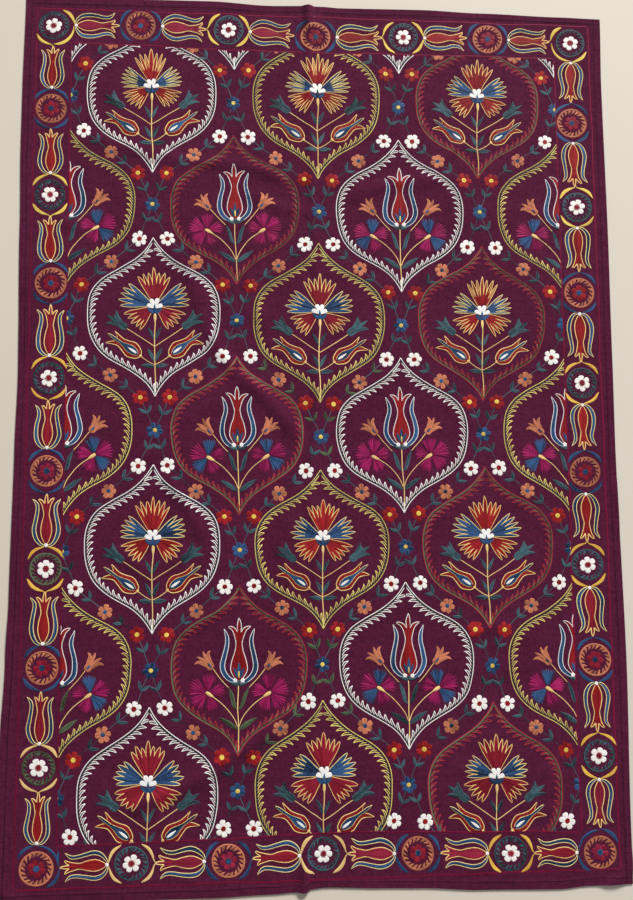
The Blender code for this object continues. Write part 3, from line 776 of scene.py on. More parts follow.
# The strands of a tooth from its tip to the inner line, and the vein between them.
# columns: along the line in pitches below the tip, inward in reaches
TOOTH_UPPER = [(0.0, 1.0), (0.06, 0.68), (0.22, 0.34), (0.72, 0.02)]
TOOTH_LOWER = [(-0.03, 1.04), (0.30, 0.68), (0.66, 0.36), (1.25, 0.04)]
TOOTH_VEIN = [(1.05, 0.06), (0.60, 0.22), (0.26, 0.52)]
TOOTH_PITCH = 17.2
FIRST_TOOTH = 29.0
OUTLINE = 2.3     # the outer row of an outline
SPINE = 2.7        # the dark row inside it
STRAND = 2.3      # the rows that make the inner line and the teeth


def bezier(points, n=90):
    a, b, c, d = np.array(points, float)
    t = np.linspace(0, 1, n)[:, None]
    return (1 - t) ** 3 * a + 3 * (1 - t) ** 2 * t * b + 3 * (1 - t) * t * t * c + t ** 3 * d


def ogee(at, height, half_width, colour, spine):
    """The pointed outline of a medallion with its comb of hooked teeth.

    Each tooth is two strands that leave the inner line a little apart, run up beside it and
    meet in the tooth's tip, with a dark vein between them.
    """
    shape = np.concatenate([bezier(OGEE_UPPER), bezier(OGEE_LOWER)[1:]])
    for side in (-1, 1):
        swell = half_width * rng.uniform(0.985, 1.015)
        path = resampled(np.stack([shape[:, 0] * swell, (1 - shape[:, 1]) * height], 1), 3.6)
        share = 1 - path[:, 1] / height
        n = inward(path)
        shade = rng.normal(0, 0.25)
        flip = np.array([side, 1])

        def ring(offset):
            p = path + n * offset
            p = p[p[:, 0] > 0.2]
            return np.concatenate([[[0.0, p[0, 1] + p[0, 0] * 1.2]], p, [[0.0, p[-1, 1] - p[-1, 0] * 1.2]]])

        line(at, colour, ring(OUTLINE / 2) * flip, OUTLINE, smooth=False, lift=0.1, shade=shade)
        line(at, spine, ring(OUTLINE + SPINE * 0.5) * flip, SPINE * 1.3, smooth=False, lift=-0.15, shade=shade)
        comb = path + n * (OUTLINE + SPINE + STRAND * 0.45)
        along = np.concatenate([[0], np.cumsum(np.linalg.norm(np.diff(comb, axis=0), axis=1))])

        def strand(start, table, pitch, reach):
            found = []
            for down, inner in table:
                s = min(start + down * pitch, along[-1])
                p = np.array([np.interp(s, along, comb[:, k]) + inner * reach * np.interp(s, along, n[:, k])
                              for k in (0, 1)])
                if p[0] < 0.8:
                    p[0] = 0.8
                found.append(p * flip)
            return found

        first = FIRST_TOOTH * rng.uniform(0.9, 1.1)
        opening = [p for p in strand(0, [(s, 0) for s in np.linspace(0.05, 1, 9)], first + 22, 1) if abs(p[0]) > 1]
        line(at, colour, np.array(opening), STRAND, smooth=False, lift=0.05, shade=shade)
        at_s = first
        while at_s < along[-1] - 9:
            pitch = TOOTH_PITCH * rng.uniform(0.92, 1.08)
            h = np.interp(at_s, along, share)
            reach = profile(TOOTH_REACH, np.array([h]))[0] * rng.uniform(0.90, 1.10)
            tone = shade + rng.normal(0, 0.2)
            line(at, spine, strand(at_s, TOOTH_VEIN, pitch, reach), 3.0, lift=-0.1, step=3.6)
            line(at, colour, strand(at_s, TOOTH_LOWER, pitch, reach), STRAND, shade=tone, step=3.6, lift=0.1)
            line(at, colour, strand(at_s, TOOTH_UPPER, pitch, reach), STRAND * 0.92, shade=tone, step=3.6, lift=0.05)
            at_s += pitch


def resampled(points, step):
    along = np.concatenate([[0], np.cumsum(np.linalg.norm(np.diff(points, axis=0), axis=1))])
    at = np.linspace(0, along[-1], int(round(along[-1] / step)) + 1)
    return np.stack([np.interp(at, along, points[:, k]) for k in (0, 1)], 1)


def inward(path):
    """Unit normals of the right-hand outline that look towards the medallion's axis."""
    n = normals(path)
    return -n * np.sign(n[:, 0].mean())


# Rosettes of the border, in mm
# columns: ring silk, heart, radius of the ring, flower and heart, ring width, flames, flame half
# width, where their tips are, petals' half width, bracket half width
ROSETTES = {
    "G": ("green", "crimson", 41.4, 22.0, 9.4, 4.5, 20, 2.9, 27.0, 0.345, 4.3),
    "M": ("olive", "crimson", 41.4, 22.8, 9.4, 4.2, 21, 2.6, 27.5, 0.345, 4.3),
    "O": ("copper", "blue", 41.2, 21.8, 8.6, 4.7, 19, 3.1, 26.8, 0.340, 4.4),
}


def rosette(at, kind, petals):
    """A ring of flames about a flower."""
    (ring_silk, heart, size, reach_out, heart_size, ring_width, flames, flame_half, flame_tip, plump,
     _) = ROSETTES[kind]
    radius = size * rng.uniform(0.985, 1.015)
    turn = np.linspace(0, 2 * math.pi, 73)
    wobble = 1 + 0.012 * np.sin(2 * turn + rng.uniform(0, 6)) + 0.006 * np.sin(3 * turn + rng.uniform(0, 6))
    ring = np.stack([np.cos(turn), np.sin(turn)], 1) * wobble[:, None]
    shade = rng.normal(0, 0.25)
    band(ring_silk, at(ring * radius), at(ring * (radius - ring_width)), 2, field=False, ends=(False, False),
         shade=shade - 0.4)
    first = rng.uniform(0, 18)
    for k in range(flames):
        t = first + k * 360 / flames + rng.uniform(-2, 2)
        reach = flame_tip * rng.uniform(0.96, 1.05)

        def polar(r, dt):
            return (math.cos(math.radians(t + dt)) * r, math.sin(math.radians(t + dt)) * r)

        inner = radius - ring_width
        blade(at, ring_silk, [polar(inner + 1.4, -4), polar(inner - 3.0, -1.5), polar((inner + reach) / 2 - 1, 2.0),
                              polar(reach, 10)],
              [(0, flame_half * 1.75), (0.28, flame_half * 1.08), (0.62, flame_half * 0.70), (1, 0.3)],
              shade=shade + rng.normal(-0.2, 0.6), row=3.4, step=2.8, lift=0.03)
    flower(at, petals, heart, reach_out, heart_size, plump=plump)


# A bracket leaf beside a rosette, like half a brace: points from the junction on the border's
# axis outwards, (across the border, along it)
BRACKET = [(0.8, 60.5), (5.5, 55.5), (20.0, 50.5), (34.5, 41.0), (46.0, 23.5)]


def bracket(at, kind, colour, end, side):
    half = ROSETTES[kind][-1] * rng.uniform(0.88, 1.08)
    points = [(x * side, y * end) for x, y in BRACKET]
    blade(at, colour, points, [(0, 1.0), (0.16, 1.7), (0.40, half * 0.86), (0.62, half), (0.84, half * 0.70), (1, 0.5)],
          row=2.3)


# Leaves of a corner rosette, about its middle: one that joins its two inner sides, the outer
# two, and at one corner a small one more.  angles in degrees from +x, radii in mm
# columns: corner, first angle, last angle, radius, half width, where it is widest
CORNER_JOINS = [
    ("top left", 0, -90, 53.5, 4.2, 0.62),
    ("top right", 180, 270, 53.0, 3.7, 0.60),
    ("bottom right", 180, 90, 53.5, 3.6, 0.62),
    ("bottom left", 90, 0, 53.0, 3.6, 0.45),
]


def corner_join(x, y, colour, first, last, radius, half, widest):
    t = np.radians(np.linspace(first, last, 9))
    bow = 1 + 0.02 * np.sin(np.linspace(0, math.pi, 9))
    points = np.stack([np.cos(t), np.sin(t)], 1) * (radius * bow)[:, None]
    blade(Place(x, y, field=False), colour, points,
          [(0, 0.5), (widest * 0.5, half * 0.75), (widest, half), (widest + 0.2, half * 0.8), (1, 0.5)], row=2.3)


# ------------------------------------------------------------------ layout (metres)
# Rosettes of each side in the order in which the border's tulips follow each other.
# columns: x, y, kind, silk of its petals, of its brackets, of the tulip that follows
BORDER_TOP = [
    (-0.710, 1.092, "G", "white", "yellow", "raspberry"), (-0.477, 1.098, "O", "crimson", "blue", "raspberry"),
    (-0.239, 1.091, "G", "white", "yellow", "raspberry"), (-0.001, 1.076, "O", "crimson", "blue", "red"),
    (0.241, 1.081, "G", "white", "yellow", "red"), (0.477, 1.082, "O", "crimson", "blue", "red"),
    (0.709, 1.076, "G", "white", "yellow", "red"),
]
BORDER_RIGHT = [
    (0.709, 1.076, "G", "white", "yellow", "red"), (0.705, 0.842, "O", "crimson", "blue", "red"),
    (0.710, 0.602, "G", "white", "yellow", "red"), (0.707, 0.362, "O", "red", "blue", "red"),
    (0.704, 0.115, "G", "white", "amber", "scarlet"), (0.704, -0.123, "O", "crimson", "blue", "scarlet"),
    (0.701, -0.366, "G", "white", "amber", "crimson"), (0.711, -0.609, "O", "crimson", "blue", "red"),
    (0.711, -0.849, "G", "white", "amber", "raspberry"), (0.704, -1.085, "O", "raspberry", "blue", "crimson"),
]
BORDER_BOTTOM = [
    (0.704, -1.085, "O", "raspberry", "blue", "crimson"), (0.476, -1.083, "G", "white", "amber", "raspberry"),
    (0.241, -1.077, "O", "crimson", "blue", "raspberry"), (0.005, -1.073, "G", "white", "straw", "crimson"),
    (-0.230, -1.084, "O", "raspberry", "blue", "raspberry"), (-0.467, -1.085, "G", "white", "straw", "red"),
    (-0.697, -1.092, "O", "crimson", "blue", "red"),
]
BORDER_LEFT = [
    (-0.697, -1.092, "O", "crimson", "blue", "red"), (-0.698, -0.854, "M", "white", "straw", "crimson"),
    (-0.696, -0.612, "O", "crimson", "blue", "red"), (-0.693, -0.366, "M", "white", "amber", "crimson"),
    (-0.698, -0.118, "O", "raspberry", "blue", "crimson"), (-0.698, 0.124, "G", "white", "amber", "crimson"),
    (-0.700, 0.376, "O", "crimson", "blue", "red"), (-0.708, 0.617, "G", "white", "yellow", "red"),
    (-0.711, 0.856, "O", "crimson", "blue", "red"), (-0.710, 1.092, "G", "white", "yellow", "raspberry"),
]
# Corners of the two frame lines: top left, top right, bottom right, bottom left
OUTER_FRAME = [(-0.7545, 1.141), (0.761, 1.126), (0.754, -1.126), (-0.7505, -1.141)]
INNER_FRAME = [(-0.662, 1.042), (0.6615, 1.033), (0.6575, -1.035), (-0.650, -1.040)]
# how far the upper and the lower line of the inner frame bow upwards: (x, rise)
HEAD_BOW = [(-0.66, 0.002), (-0.45, 0.0), (-0.25, -0.005), (0.0, -0.0075), (0.30, -0.004), (0.50, -0.003), (0.67, -0.0045)]
FOOT_BOW = [(-0.65, 0.0), (-0.38, 0.003), (-0.20, 0.008), (-0.03, 0.0135), (0.08, 0.0145), (0.25, 0.011), (0.44, 0.006),
            (0.66, 0.0)]

# Medallions with a carnation.
# columns: row, column, upper tip, lower tip, silk, reach of the low fans and of the side ones, silk
# of the low and top ones, how deep the fans are cut, fingers in each side or low fan, light
# slivers in the fingers
CARNATIONS = [
    (1, 0, (-0.446, 1.114), (-0.440, 0.680), "white", 0.98, 0.94, "red", 0.46, 6, True),
    (1, 1, (0.000, 1.116), (0.003, 0.667), "citron", 0.98, 0.97, "red", 0.48, 6, True),
    (1, 2, (0.446, 1.102), (0.439, 0.673), "rust", 1.0, 0.98, "red", 0.35, 5, False),
    (2, 0, (-0.435, 0.505), (-0.425, 0.073), "white", 1.0, 1.06, "crimson", 0.34, 5, False),
    (2, 1, (0.004, 0.495), (0.004, 0.057), "citron", 0.99, 1.01, "crimson", 0.38, 5, False),
    (2, 2, (0.444, 0.491), (0.436, 0.062), "rust", 0.98, 0.93, "red", 0.46, 5, True),
    (3, 0, (-0.427, -0.099), (-0.424, -0.535), "white", 1.0, 0.97, "red", 0.37, 5, False),
    (3, 1, (0.004, -0.113), (0.009, -0.526), "citron", 1.0, 0.98, "scarlet", 0.35, 5, False),
    (3, 2, (0.437, -0.106), (0.439, -0.530), "rust", 1.0, 1.05, "scarlet", 0.37, 5, False),
    (4, 0, (-0.429, -0.708), (-0.430, -1.143), "white", 1.06, 0.97, "crimson", 0.26, 5, False),
    (4, 1, (0.006, -0.697), (0.005, -1.128), "citron", 1.06, 0.95, "crimson", 0.30, 5, False),
    (4, 2, (0.442, -0.709), (0.444, -1.135), "rust", 1.04, 0.93, "crimson", 0.32, 5, False),
]
# Medallions with a tulip.  The outer two columns stand on the frame, cut in half.
# columns: row, column, upper tip, lower tip, silk, fans of the carnations worked in blue, leaves
TULIPS = [
    (1, -1, (-0.661, 0.803), (-0.659, 0.372), "citron", (0, 2), "green"),
    (1, 0, (-0.224, 0.792), (-0.214, 0.373), "rust", (), "green"),
    (1, 1, (0.222, 0.788), (0.225, 0.357), "white", (0, 2), "green"),
    (1, 2, (0.664, 0.792), (0.664, 0.362), "citron", (0, 2), "green"),
    (2, -1, (-0.658, 0.196), (-0.655, -0.236), "citron", (0, 2), "green"),
    (2, 0, (-0.214, 0.188), (-0.206, -0.237), "rust", (0, 2), "green"),
    (2, 1, (0.219, 0.184), (0.222, -0.232), "white", (), "green"),
    (2, 2, (0.663, 0.190), (0.663, -0.238), "citron", (0, 2), "green"),
    (3, -1, (-0.654, -0.408), (-0.652, -0.838), "citron", (0, 2), "olive"),
    (3, 0, (-0.205, -0.408), (-0.208, -0.837), "rust", (), "olive"),
    (3, 1, (0.222, -0.404), (0.224, -0.828), "white", (0, 2), "green"),
    (3, 2, (0.662, -0.405), (0.662, -0.835), "citron", (0, 2), "green"),
]
# Where the garlands' leaves were worked in olive.  columns: x, y, radius
OLIVE_PATCHES = [(0.02, 0.05, 0.17), (0.03, -0.25, 0.11), (-0.02, -0.74, 0.20)]
# Lower tips of the cut medallions at the top of the field
CUT_TIPS = [(-0.661, 0.985), (-0.224, 0.974), (0.227, 0.972), (0.659, 0.970)]
HALF_WIDTH = 173.0        # mm, of a medallion
FULL_HEIGHT = 434.0       # mm
CARNATION_SCALE = 438.0   # the height at which the sprays' sizes were set out
TULIP_SCALE = 424.0
FLANK = 0.0375            # a garland flower stands this far beside a medallion's tip
SUNK = 0.028              # the outlines of the last row, cut by the frame, would end this much lower
LOWEST_DROP = [0.607, 0.595, 0.589, 0.596]        # from the last row of tulips to the tips below it


def upright(top, bottom):
    """A place at a medallion's lower tip, with its axis to the upper one, and its height in mm."""
    d = np.array(top) - np.array(bottom)
    return math.degrees(math.atan2(-d[0], d[1])), float(np.linalg.norm(d)) * 1000


def inside_frame(p, margin=0.0):
    low, high = frame_bounds(np.array([p[0]]), np.array([p[1]]))
    return bool(low[0][0] - margin <= p[0] <= high[0][0] + margin and low[1][0] - margin <= p[1] <= high[1][0] + margin)


def frame_bounds(x, y):
    """The inner frame's left and lower, then right and upper lines at the points (x, y)."""
    tl, tr, br, bl = (np.array(c) for c in INNER_FRAME)

    def between(p, q, t, axis):
        share = (t - p[axis]) / (q[axis] - p[axis])
        return p[1 - axis] + (q[1 - axis] - p[1 - axis]) * share

    return ((between(bl, tl, y, 1), between(bl, br, x, 0) + bow(FOOT_BOW, x)),
            (between(br, tr, y, 1), between(tl, tr, x, 0) + bow(HEAD_BOW, x)))


def bow(table, x):
    return np.interp(x, *zip(*table))


def garland_flower(p, kind):
    petals, heart, radius, centre = {
        "white": ("white", "red", 20.6, 7.3), "red": ("scarlet", "yellow", 21.2, 6.6),
        "orange": ("copper", "blue", 20.2, 6.0), "blue": ("blue", "yellow", 20.8, 6.0),
    }[kind]
    if inside_frame(p, 0.018):
        flower(Place(p[0], p[1], rng.uniform(-25, 25)), petals, heart, radius * rng.uniform(0.97, 1.04), centre)


def garland_link(low, high):
    """A thin stem from one flower up to the next, with a pair of leaves that fork round it."""
    low, high = np.array(low, float), np.array(high, float)
    if not (inside_frame(low, 0.03) or inside_frame(high, 0.03)):
        return
    d = (high - low) * 1000
    length = np.linalg.norm(d)
    way = d / length
    side = np.array([-way[1], way[0]])
    at = Place(low[0], low[1])
    start, end = way * 15, d - way * 15
    fork = way * length * rng.uniform(0.46, 0.52) + side * rng.uniform(-2, 2)
    bow = side * rng.uniform(-1.5, 1.5)
    leaves = "olive" if any(math.hypot(low[0] - x, low[1] - y) < r for x, y, r in OLIVE_PATCHES) else "green"
    line(at, "green", [start, (start + fork) / 2 + bow, fork, (fork + end) / 2 - bow, end], 2.2, lift=-0.1)
    for turn in (-1, 1):
        angle = math.radians(40 * turn * rng.uniform(0.85, 1.15))
        c, s = math.cos(angle), math.sin(angle)
        reach = 26.5 * rng.uniform(0.9, 1.1)
        tip = fork + np.array([way[0] * c - way[1] * s, way[0] * s + way[1] * c]) * reach
        leaf(at, leaves, fork - way * 0.6, tip, 4.4, bend=0.03 * turn)


def work_lattice():
    """Medallions, their sprays and the garlands between them."""
    tips = {}      # (column in half pitches, row) -> (upper tip, lower tip)
    for row, column, top, bottom, silk, low, flanks, warm, depth, fingers, slivers in CARNATIONS:
        turn, height = upright(top, bottom)
        sunk = SUNK if row == 4 else 0.0
        ogee(Place(bottom[0], bottom[1] - sunk, turn), height + sunk * 1000, HALF_WIDTH, silk,
             "olive" if silk == "rust" else "spine")
        carnation_spray(Place(bottom[0], bottom[1], turn + rng.uniform(-0.8, 0.8), height / CARNATION_SCALE), low, flanks,
                        warm, depth, fingers, slivers)
        tips[2 * column, 2 * row - 1] = (np.array(top), np.array(bottom))
    for row, column, top, bottom, silk, blues, leaves in TULIPS:
        turn, height = upright(top, bottom)
        wide = HALF_WIDTH * (1.02 if column in (-1, 2) else 1.0)
        ogee(Place(bottom[0], bottom[1], turn), height, wide, silk, "olive" if silk == "rust" else "spine")
        tulip_spray(Place(bottom[0], bottom[1], turn + rng.uniform(-0.8, 0.8), height / TULIP_SCALE), blues, leaves)
        tips[2 * column + 1, 2 * row] = (np.array(top), np.array(bottom))
    for column, tip in enumerate(CUT_TIPS, -1):
        ogee(Place(tip[0], tip[1]), FULL_HEIGHT, HALF_WIDTH, "white", "spine")
        tips[2 * column + 1, 0] = (np.array(tip) + [0, FULL_HEIGHT / 1000], np.array(tip))
    for column, drop in enumerate(LOWEST_DROP, -1):      # the row below the field shows only its flowers
        top = tips[2 * column + 1, 6][0] + [0, -drop]
        tips[2 * column + 1, 8] = (top, top - [0, FULL_HEIGHT / 1000])
    for (column, row), (top, bottom) in tips.items():
        jitter = rng.uniform(-0.0015, 0.0015, (4, 2))
        whites = [top + [FLANK * s, -0.006] + jitter[k] for k, s in enumerate((-1, 1))]
        reds = [bottom + [FLANK * s, 0.001] + jitter[k + 2] for k, s in enumerate((-1, 1))]
        tips[column, row] = (top, bottom, whites, reds)
    for (column, row), (top, bottom, whites, reds) in tips.items():
        for p in whites:
            garland_flower(p, "white")
        for p in reds:
            garland_flower(p, "red")
        below = tips.get((column, row + 2))
        if below:                           # a blue flower between two tips
            middle = (bottom + below[0]) / 2 + rng.uniform(-0.002, 0.002, 2)
            garland_flower(middle, "blue")
            for p in reds:
                garland_link(middle, p)
            for p in below[2]:
                garland_link(p, middle)
        for side in (-1, 1):                # down the sides, past the next column's tip
            other = tips.get((column + side, row + 1))
            if not other:
                continue
            low = other[2][0 if side > 0 else 1]      # a white flower at its upper tip
            high = reds[1 if side > 0 else 0]
            middle = (low + high) / 2 + rng.uniform(-0.002, 0.002, 2)
            garland_flower(middle, "orange")
            garland_link(*((low, middle) if low[1] < middle[1] else (middle, low)))
            garland_link(*((middle, high) if middle[1] < high[1] else (high, middle)))


def work_border():
    for places, slim in ((BORDER_TOP, 1.03), (BORDER_RIGHT, 0.96), (BORDER_BOTTOM, 1.03), (BORDER_LEFT, 0.90)):
        for (x0, y0, kind0, _, silk0, fill), (x1, y1, kind1, _, silk1, _) in zip(places, places[1:]):
            d = np.array([x1 - x0, y1 - y0])
            length = float(np.linalg.norm(d))
            turn = math.degrees(math.atan2(-d[0], d[1]))
            starts = places[0][:2] == (x0, y0)      # the rosette behind stands in a corner
            ends = places[-1][:2] == (x1, y1)
            for side in (-1, 1):                    # +1 is the side of the field
                if side < 0 or not starts:
                    bracket(Place(x0, y0, turn, field=False), kind0, silk0, 1, side)
                if side < 0 or not ends:
                    bracket(Place(x1, y1, turn, field=False), kind1, silk1, -1, side)
            base = np.array([x0, y0]) + d / length * 0.0605
            border_tulip(Place(base[0], base[1], turn + rng.uniform(-0.8, 0.8), (length - 0.1180) / 0.1165,
                               side=slim * rng.uniform(0.97, 1.03), field=False), fill)
        for x, y, kind, petals, _, _ in places[:-1]:
            rosette(Place(x, y, rng.uniform(0, 60), field=False), kind, petals)
    corners = (BORDER_TOP[0], BORDER_TOP[-1], BORDER_BOTTOM[0], BORDER_BOTTOM[-1])
    for (x, y, _, _, silk, _), (_, first, last, radius, half, widest) in zip(corners, CORNER_JOINS):
        corner_join(x, y, silk, first, last, radius, half, widest)
    x, y = BORDER_BOTTOM[-1][:2]
    blade(Place(x, y, field=False), "blue", [(52.0, 8), (50.5, 26), (52.5, 42)], [(0, 1.0), (0.45, 3.6), (1, 0.5)], row=2.3)


def work_frames():
    for corners in (OUTER_FRAME, INNER_FRAME):
        closed = list(corners) + [corners[0]]
        for (x0, y0), (x1, y1) in zip(closed, closed[1:]):
            n = int(math.hypot(x1 - x0, y1 - y0) / 0.0085)
            t = np.linspace(0, 1, n + 1)[:, None]
            p = (np.array([x0, y0]) * (1 - t) + np.array([x1, y1]) * t) * 1000
            if corners is INNER_FRAME and abs(y0 + y1) > 2:
                p[:, 1] += bow(HEAD_BOW if y0 > 0 else FOOT_BOW, p[:, 0] / 1000) * 1000
            across = np.array([-(y1 - y0), x1 - x0]) / math.hypot(x1 - x0, y1 - y0)
            p = p + across * (0.7 * waves(p[:, 0], p[:, 1], 31, 420, 90))[:, None]
            line(Place(0, 0, field=False), "frame", p, 3.4, rows=2, smooth=False, lift=-0.2)


def work_hem():
    """The running stitches that hold the turned hem."""
    half_w, half_l, inset = WIDTH / 2, LENGTH / 2, HEM_DEPTH - 0.0008
    corners = [(-half_w + inset, -half_l + inset), (half_w - inset, -half_l + inset),
               (half_w - inset, half_l - inset), (-half_w + inset, half_l - inset)]
    for (a0, b0), (a1, b1) in zip(corners, corners[1:] + corners[:1]):
        length = math.hypot(a1 - a0, b1 - b0)
        spot = 0.004
        while spot < length - 0.006:
            t = np.linspace(spot, spot + 0.0046 * rng.uniform(0.85, 1.15), 3)[:, None] / length
            a, b = (np.array([a0, b0]) * (1 - t) + np.array([a1, b1]) * t).T
            dx, dy = edge_shift(a, b)
            line(Place(0, 0, field=False), "hem", np.stack([a + dx, b + dy], 1) * 1000, 1.5, smooth=False, lift=-0.35)
            spot += 0.0066


# ------------------------------------------------------------------ meshes of the silks
def unsteady(p):
    """The hand's small errors: every drawn line strays by up to about a millimetre."""
    dx = waves(p[:, 0], p[:, 1], 21, 0.20, 0.05, 18)
    dy = waves(p[:, 0], p[:, 1], 22, 0.20, 0.05, 18)
    return p + 0.00062 * np.stack([dx, dy], 1)


def silk_object(silk, sheet):
    points = unsteady(np.concatenate(silk.points))
    rise = np.concatenate(silk.rise)
    stitch, tone = np.concatenate(silk.stitch), np.concatenate(silk.tone)
    quads, field = np.concatenate(silk.quads), np.concatenate(silk.field)
    low, high = frame_bounds(points[:, 0], points[:, 1])
    margin = 0.0012
    x = np.clip(points[:, 0], low[0] + margin, high[0] - margin)
    y = np.clip(points[:, 1], low[1] + margin, high[1] - margin)
    outside = field & ((x != points[:, 0]) | (y != points[:, 1]))
    points = np.where(outside[:, None], np.stack([x, y], 1), points)
    rise = np.where(outside, -0.00012, rise)
    quads = quads[~outside[quads].all(1)]
    used, quads = np.unique(quads, return_inverse=True)
    quads = quads.reshape(-1, 4)
    points, rise, stitch, tone = points[used], rise[used], stitch[used], tone[used]
    z = sheet.height(points[:, 0], points[:, 1]) + rise
    xyz = np.concatenate([points, z[:, None]], 1)
    return new_mesh("silk_" + silk.name, xyz, quads, 4, {"Stitch": stitch}, {"tone": tone})


# ------------------------------------------------------------------ materials
def linear(rgb):
    c = np.array(rgb, float) / 255
    return tuple(np.where(c <= 0.04045, c / 12.92, ((c + 0.055) / 1.055) ** 2.4)) + (1.0,)


class Nodes:
    """Short names for the building of a node tree."""

    def __init__(self, name):
        self.material = bpy.data.materials.new(name)
        self.material.use_nodes = True
        self.tree = self.material.node_tree
        self.shader = self.tree.nodes["Principled BSDF"]

    def add(self, kind, inputs=(), **settings):
        node = self.tree.nodes.new(kind)
        for key, value in settings.items():
            setattr(node, key, value)
        for key, value in dict(inputs).items():
            if hasattr(value, "is_output"):
                self.tree.links.new(value, node.inputs[key])
            else:
                node.inputs[key].default_value = value
        return node

    def sum(self, how, a, b):
        return self.add("ShaderNodeMath", {0: a, 1: b}, operation=how).outputs[0]

    def blend(self, share, a, b, how="MIX"):
        node = self.add("ShaderNodeMix", data_type="RGBA", blend_type=how)
        for socket, value in ((node.inputs[0], share), (node.inputs[6], a), (node.inputs[7], b)):
            if hasattr(value, "is_output"):
                self.tree.links.new(value, socket)
            else:
                socket.default_value = value
        return node.outputs[2]

    def noise(self, vector, scale, detail=3.0, rough=0.55):
        return self.add("ShaderNodeTexNoise", {"Vector": vector, "Scale": scale, "Detail": detail,
                                               "Roughness": rough}).outputs["Fac"]

    def span(self, value, low, high, to_low=0.0, to_high=1.0):
        return self.add("ShaderNodeMapRange", {"Value": value, "From Min": low, "From Max": high,
                                               "To Min": to_low, "To Max": to_high}).outputs[0]


def silk_material(name, red, green, blue, spread, roughness):
    m = Nodes("silk_" + name)
    base = np.array(linear((red, green, blue))[:3])
    dark = tuple(base * (1 - 1.9 * spread)) + (1.0,)
    light = tuple(np.minimum(base * (1 + 1.7 * spread) + 0.012 * spread, 0.92)) + (1.0,)
    place = m.add("ShaderNodeTexCoord").outputs["Object"]
    tone = m.add("ShaderNodeAttribute", attribute_name="tone").outputs["Fac"]
    patch = m.span(m.noise(place, 5.0, 2.0), 0.3, 0.7, -0.45, 0.45)
    strand = m.span(m.noise(place, 240.0, 2.0), 0.3, 0.7, -0.75, 0.75)
    share = m.span(m.sum("ADD", m.sum("ADD", tone, patch), strand), -1.6, 1.6)
    # chain stitches: each row is a line of links whose two sides slant to its middle
    uv = m.add("ShaderNodeUVMap", uv_map="Stitch").outputs[0]
    parts = m.add("ShaderNodeSeparateXYZ", {0: uv})
    across = m.sum("ABSOLUTE", m.sum("SUBTRACT", m.sum("FRACT", parts.outputs[0], 0.0), 0.5), 0.0)
    # painted shade: the dips between rows and the edges of each row are darkened towards deep, a third of the silk's
    # colour
    shadow = m.span(across, 0.30, 0.50, 0.0, GROOVE_SHADE)
    deep = tuple(base * 0.30) + (1.0,)
    m.tree.links.new(m.blend(shadow, m.blend(share, dark, light), deep), m.shader.inputs["Base Color"])
    slant = m.sum("ADD", parts.outputs[1], m.sum("MULTIPLY", across, 1.3))
    link = m.sum("PINGPONG", slant, 0.5)
    groove = m.span(across, 0.0, 0.12)
    height = m.sum("ADD", m.sum("MULTIPLY", link, 1.2), m.sum("MULTIPLY", groove, 0.35))
    fibre = m.sum("MULTIPLY", m.noise(place, 1400.0, 2.0), 0.35)
    bump = m.add("ShaderNodeBump", {"Height": m.sum("ADD", height, fibre), "Strength": 0.38, "Distance": 0.0005})
    m.tree.links.new(bump.outputs[0], m.shader.inputs["Normal"])
    m.shader.inputs["Roughness"].default_value = roughness
    m.shader.inputs["Specular IOR Level"].default_value = 0.10
    return m.material


def cloth_material():
    m = Nodes("plum_ground")
    place = m.add("ShaderNodeTexCoord").outputs["Object"]
    deep, mid, warm = linear((54, 14, 33)), linear((78, 22, 50)), linear((92, 31, 62))
    mottle = m.span(m.noise(place, 3.2, 3.0), 0.32, 0.68)
    fine = m.span(m.noise(place, 150.0, 3.0), 0.34, 0.66)
    colour = m.blend(mottle, mid, linear((86, 27, 57)))
    colour = m.blend(m.sum("MULTIPLY", fine, 0.70), colour, deep)

    def slubs(stretch, scale):
        moved = m.add("ShaderNodeMapping", {"Vector": place, "Scale": stretch}).outputs[0]
        return m.span(m.noise(moved, scale, 2.0), 0.46, 0.80)

    colour = m.blend(m.sum("MULTIPLY", slubs((1, 34, 1), 11.0), 0.50), colour, warm)
    colour = m.blend(m.sum("MULTIPLY", slubs((34, 1, 1), 11.0), 0.42), colour, warm)
    # painted shade: a dark line where the hem ends, over the hem's step
    hem_shade = m.add("ShaderNodeAttribute", attribute_name="hem_shade").outputs["Fac"]
    colour = m.blend(m.sum("MULTIPLY", hem_shade, 0.8), colour, linear((26, 6, 18)))
    m.tree.links.new(colour, m.shader.inputs["Base Color"])
    parts = m.add("ShaderNodeSeparateXYZ", {0: place})
    threads = []
    for axis in (0, 1):
        wave = m.sum("SINE", m.sum("MULTIPLY", parts.outputs[axis], 2 * math.pi / 0.0011), 0.0)
        threads.append(wave)
    weave = m.sum("MULTIPLY", threads[0], threads[1])
    weave = m.sum("ADD", m.sum("MULTIPLY", weave, 0.22), m.sum("MULTIPLY", m.noise(place, 900.0, 2.0), 0.6))
    soft = m.noise(place, 14.0, 4.0, 0.5)
    fine_bump = m.add("ShaderNodeBump", {"Height": weave, "Strength": 0.35, "Distance": 0.0003})
    bump = m.add("ShaderNodeBump", {"Height": soft, "Strength": 0.60, "Distance": 0.008,
                                    "Normal": fine_bump.outputs[0]})
    m.tree.links.new(bump.outputs[0], m.shader.inputs["Normal"])
    m.shader.inputs["Roughness"].default_value = 0.90
    m.shader.inputs["Specular IOR Level"].default_value = 0.06
    m.shader.inputs["Sheen Weight"].default_value = 0.03
    m.shader.inputs["Sheen Roughness"].default_value = 0.5
    return m.material


# ------------------------------------------------------------------ making it
sheet = Sheet()
ground = sheet.mesh("ground_sheet")
ground.data.materials.append(cloth_material())
ground.data.set_sharp_from_angle(angle=math.radians(50))
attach(ground, "root")
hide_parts("ground_cloth")

work_frames()
work_border()
work_lattice()
work_hem()

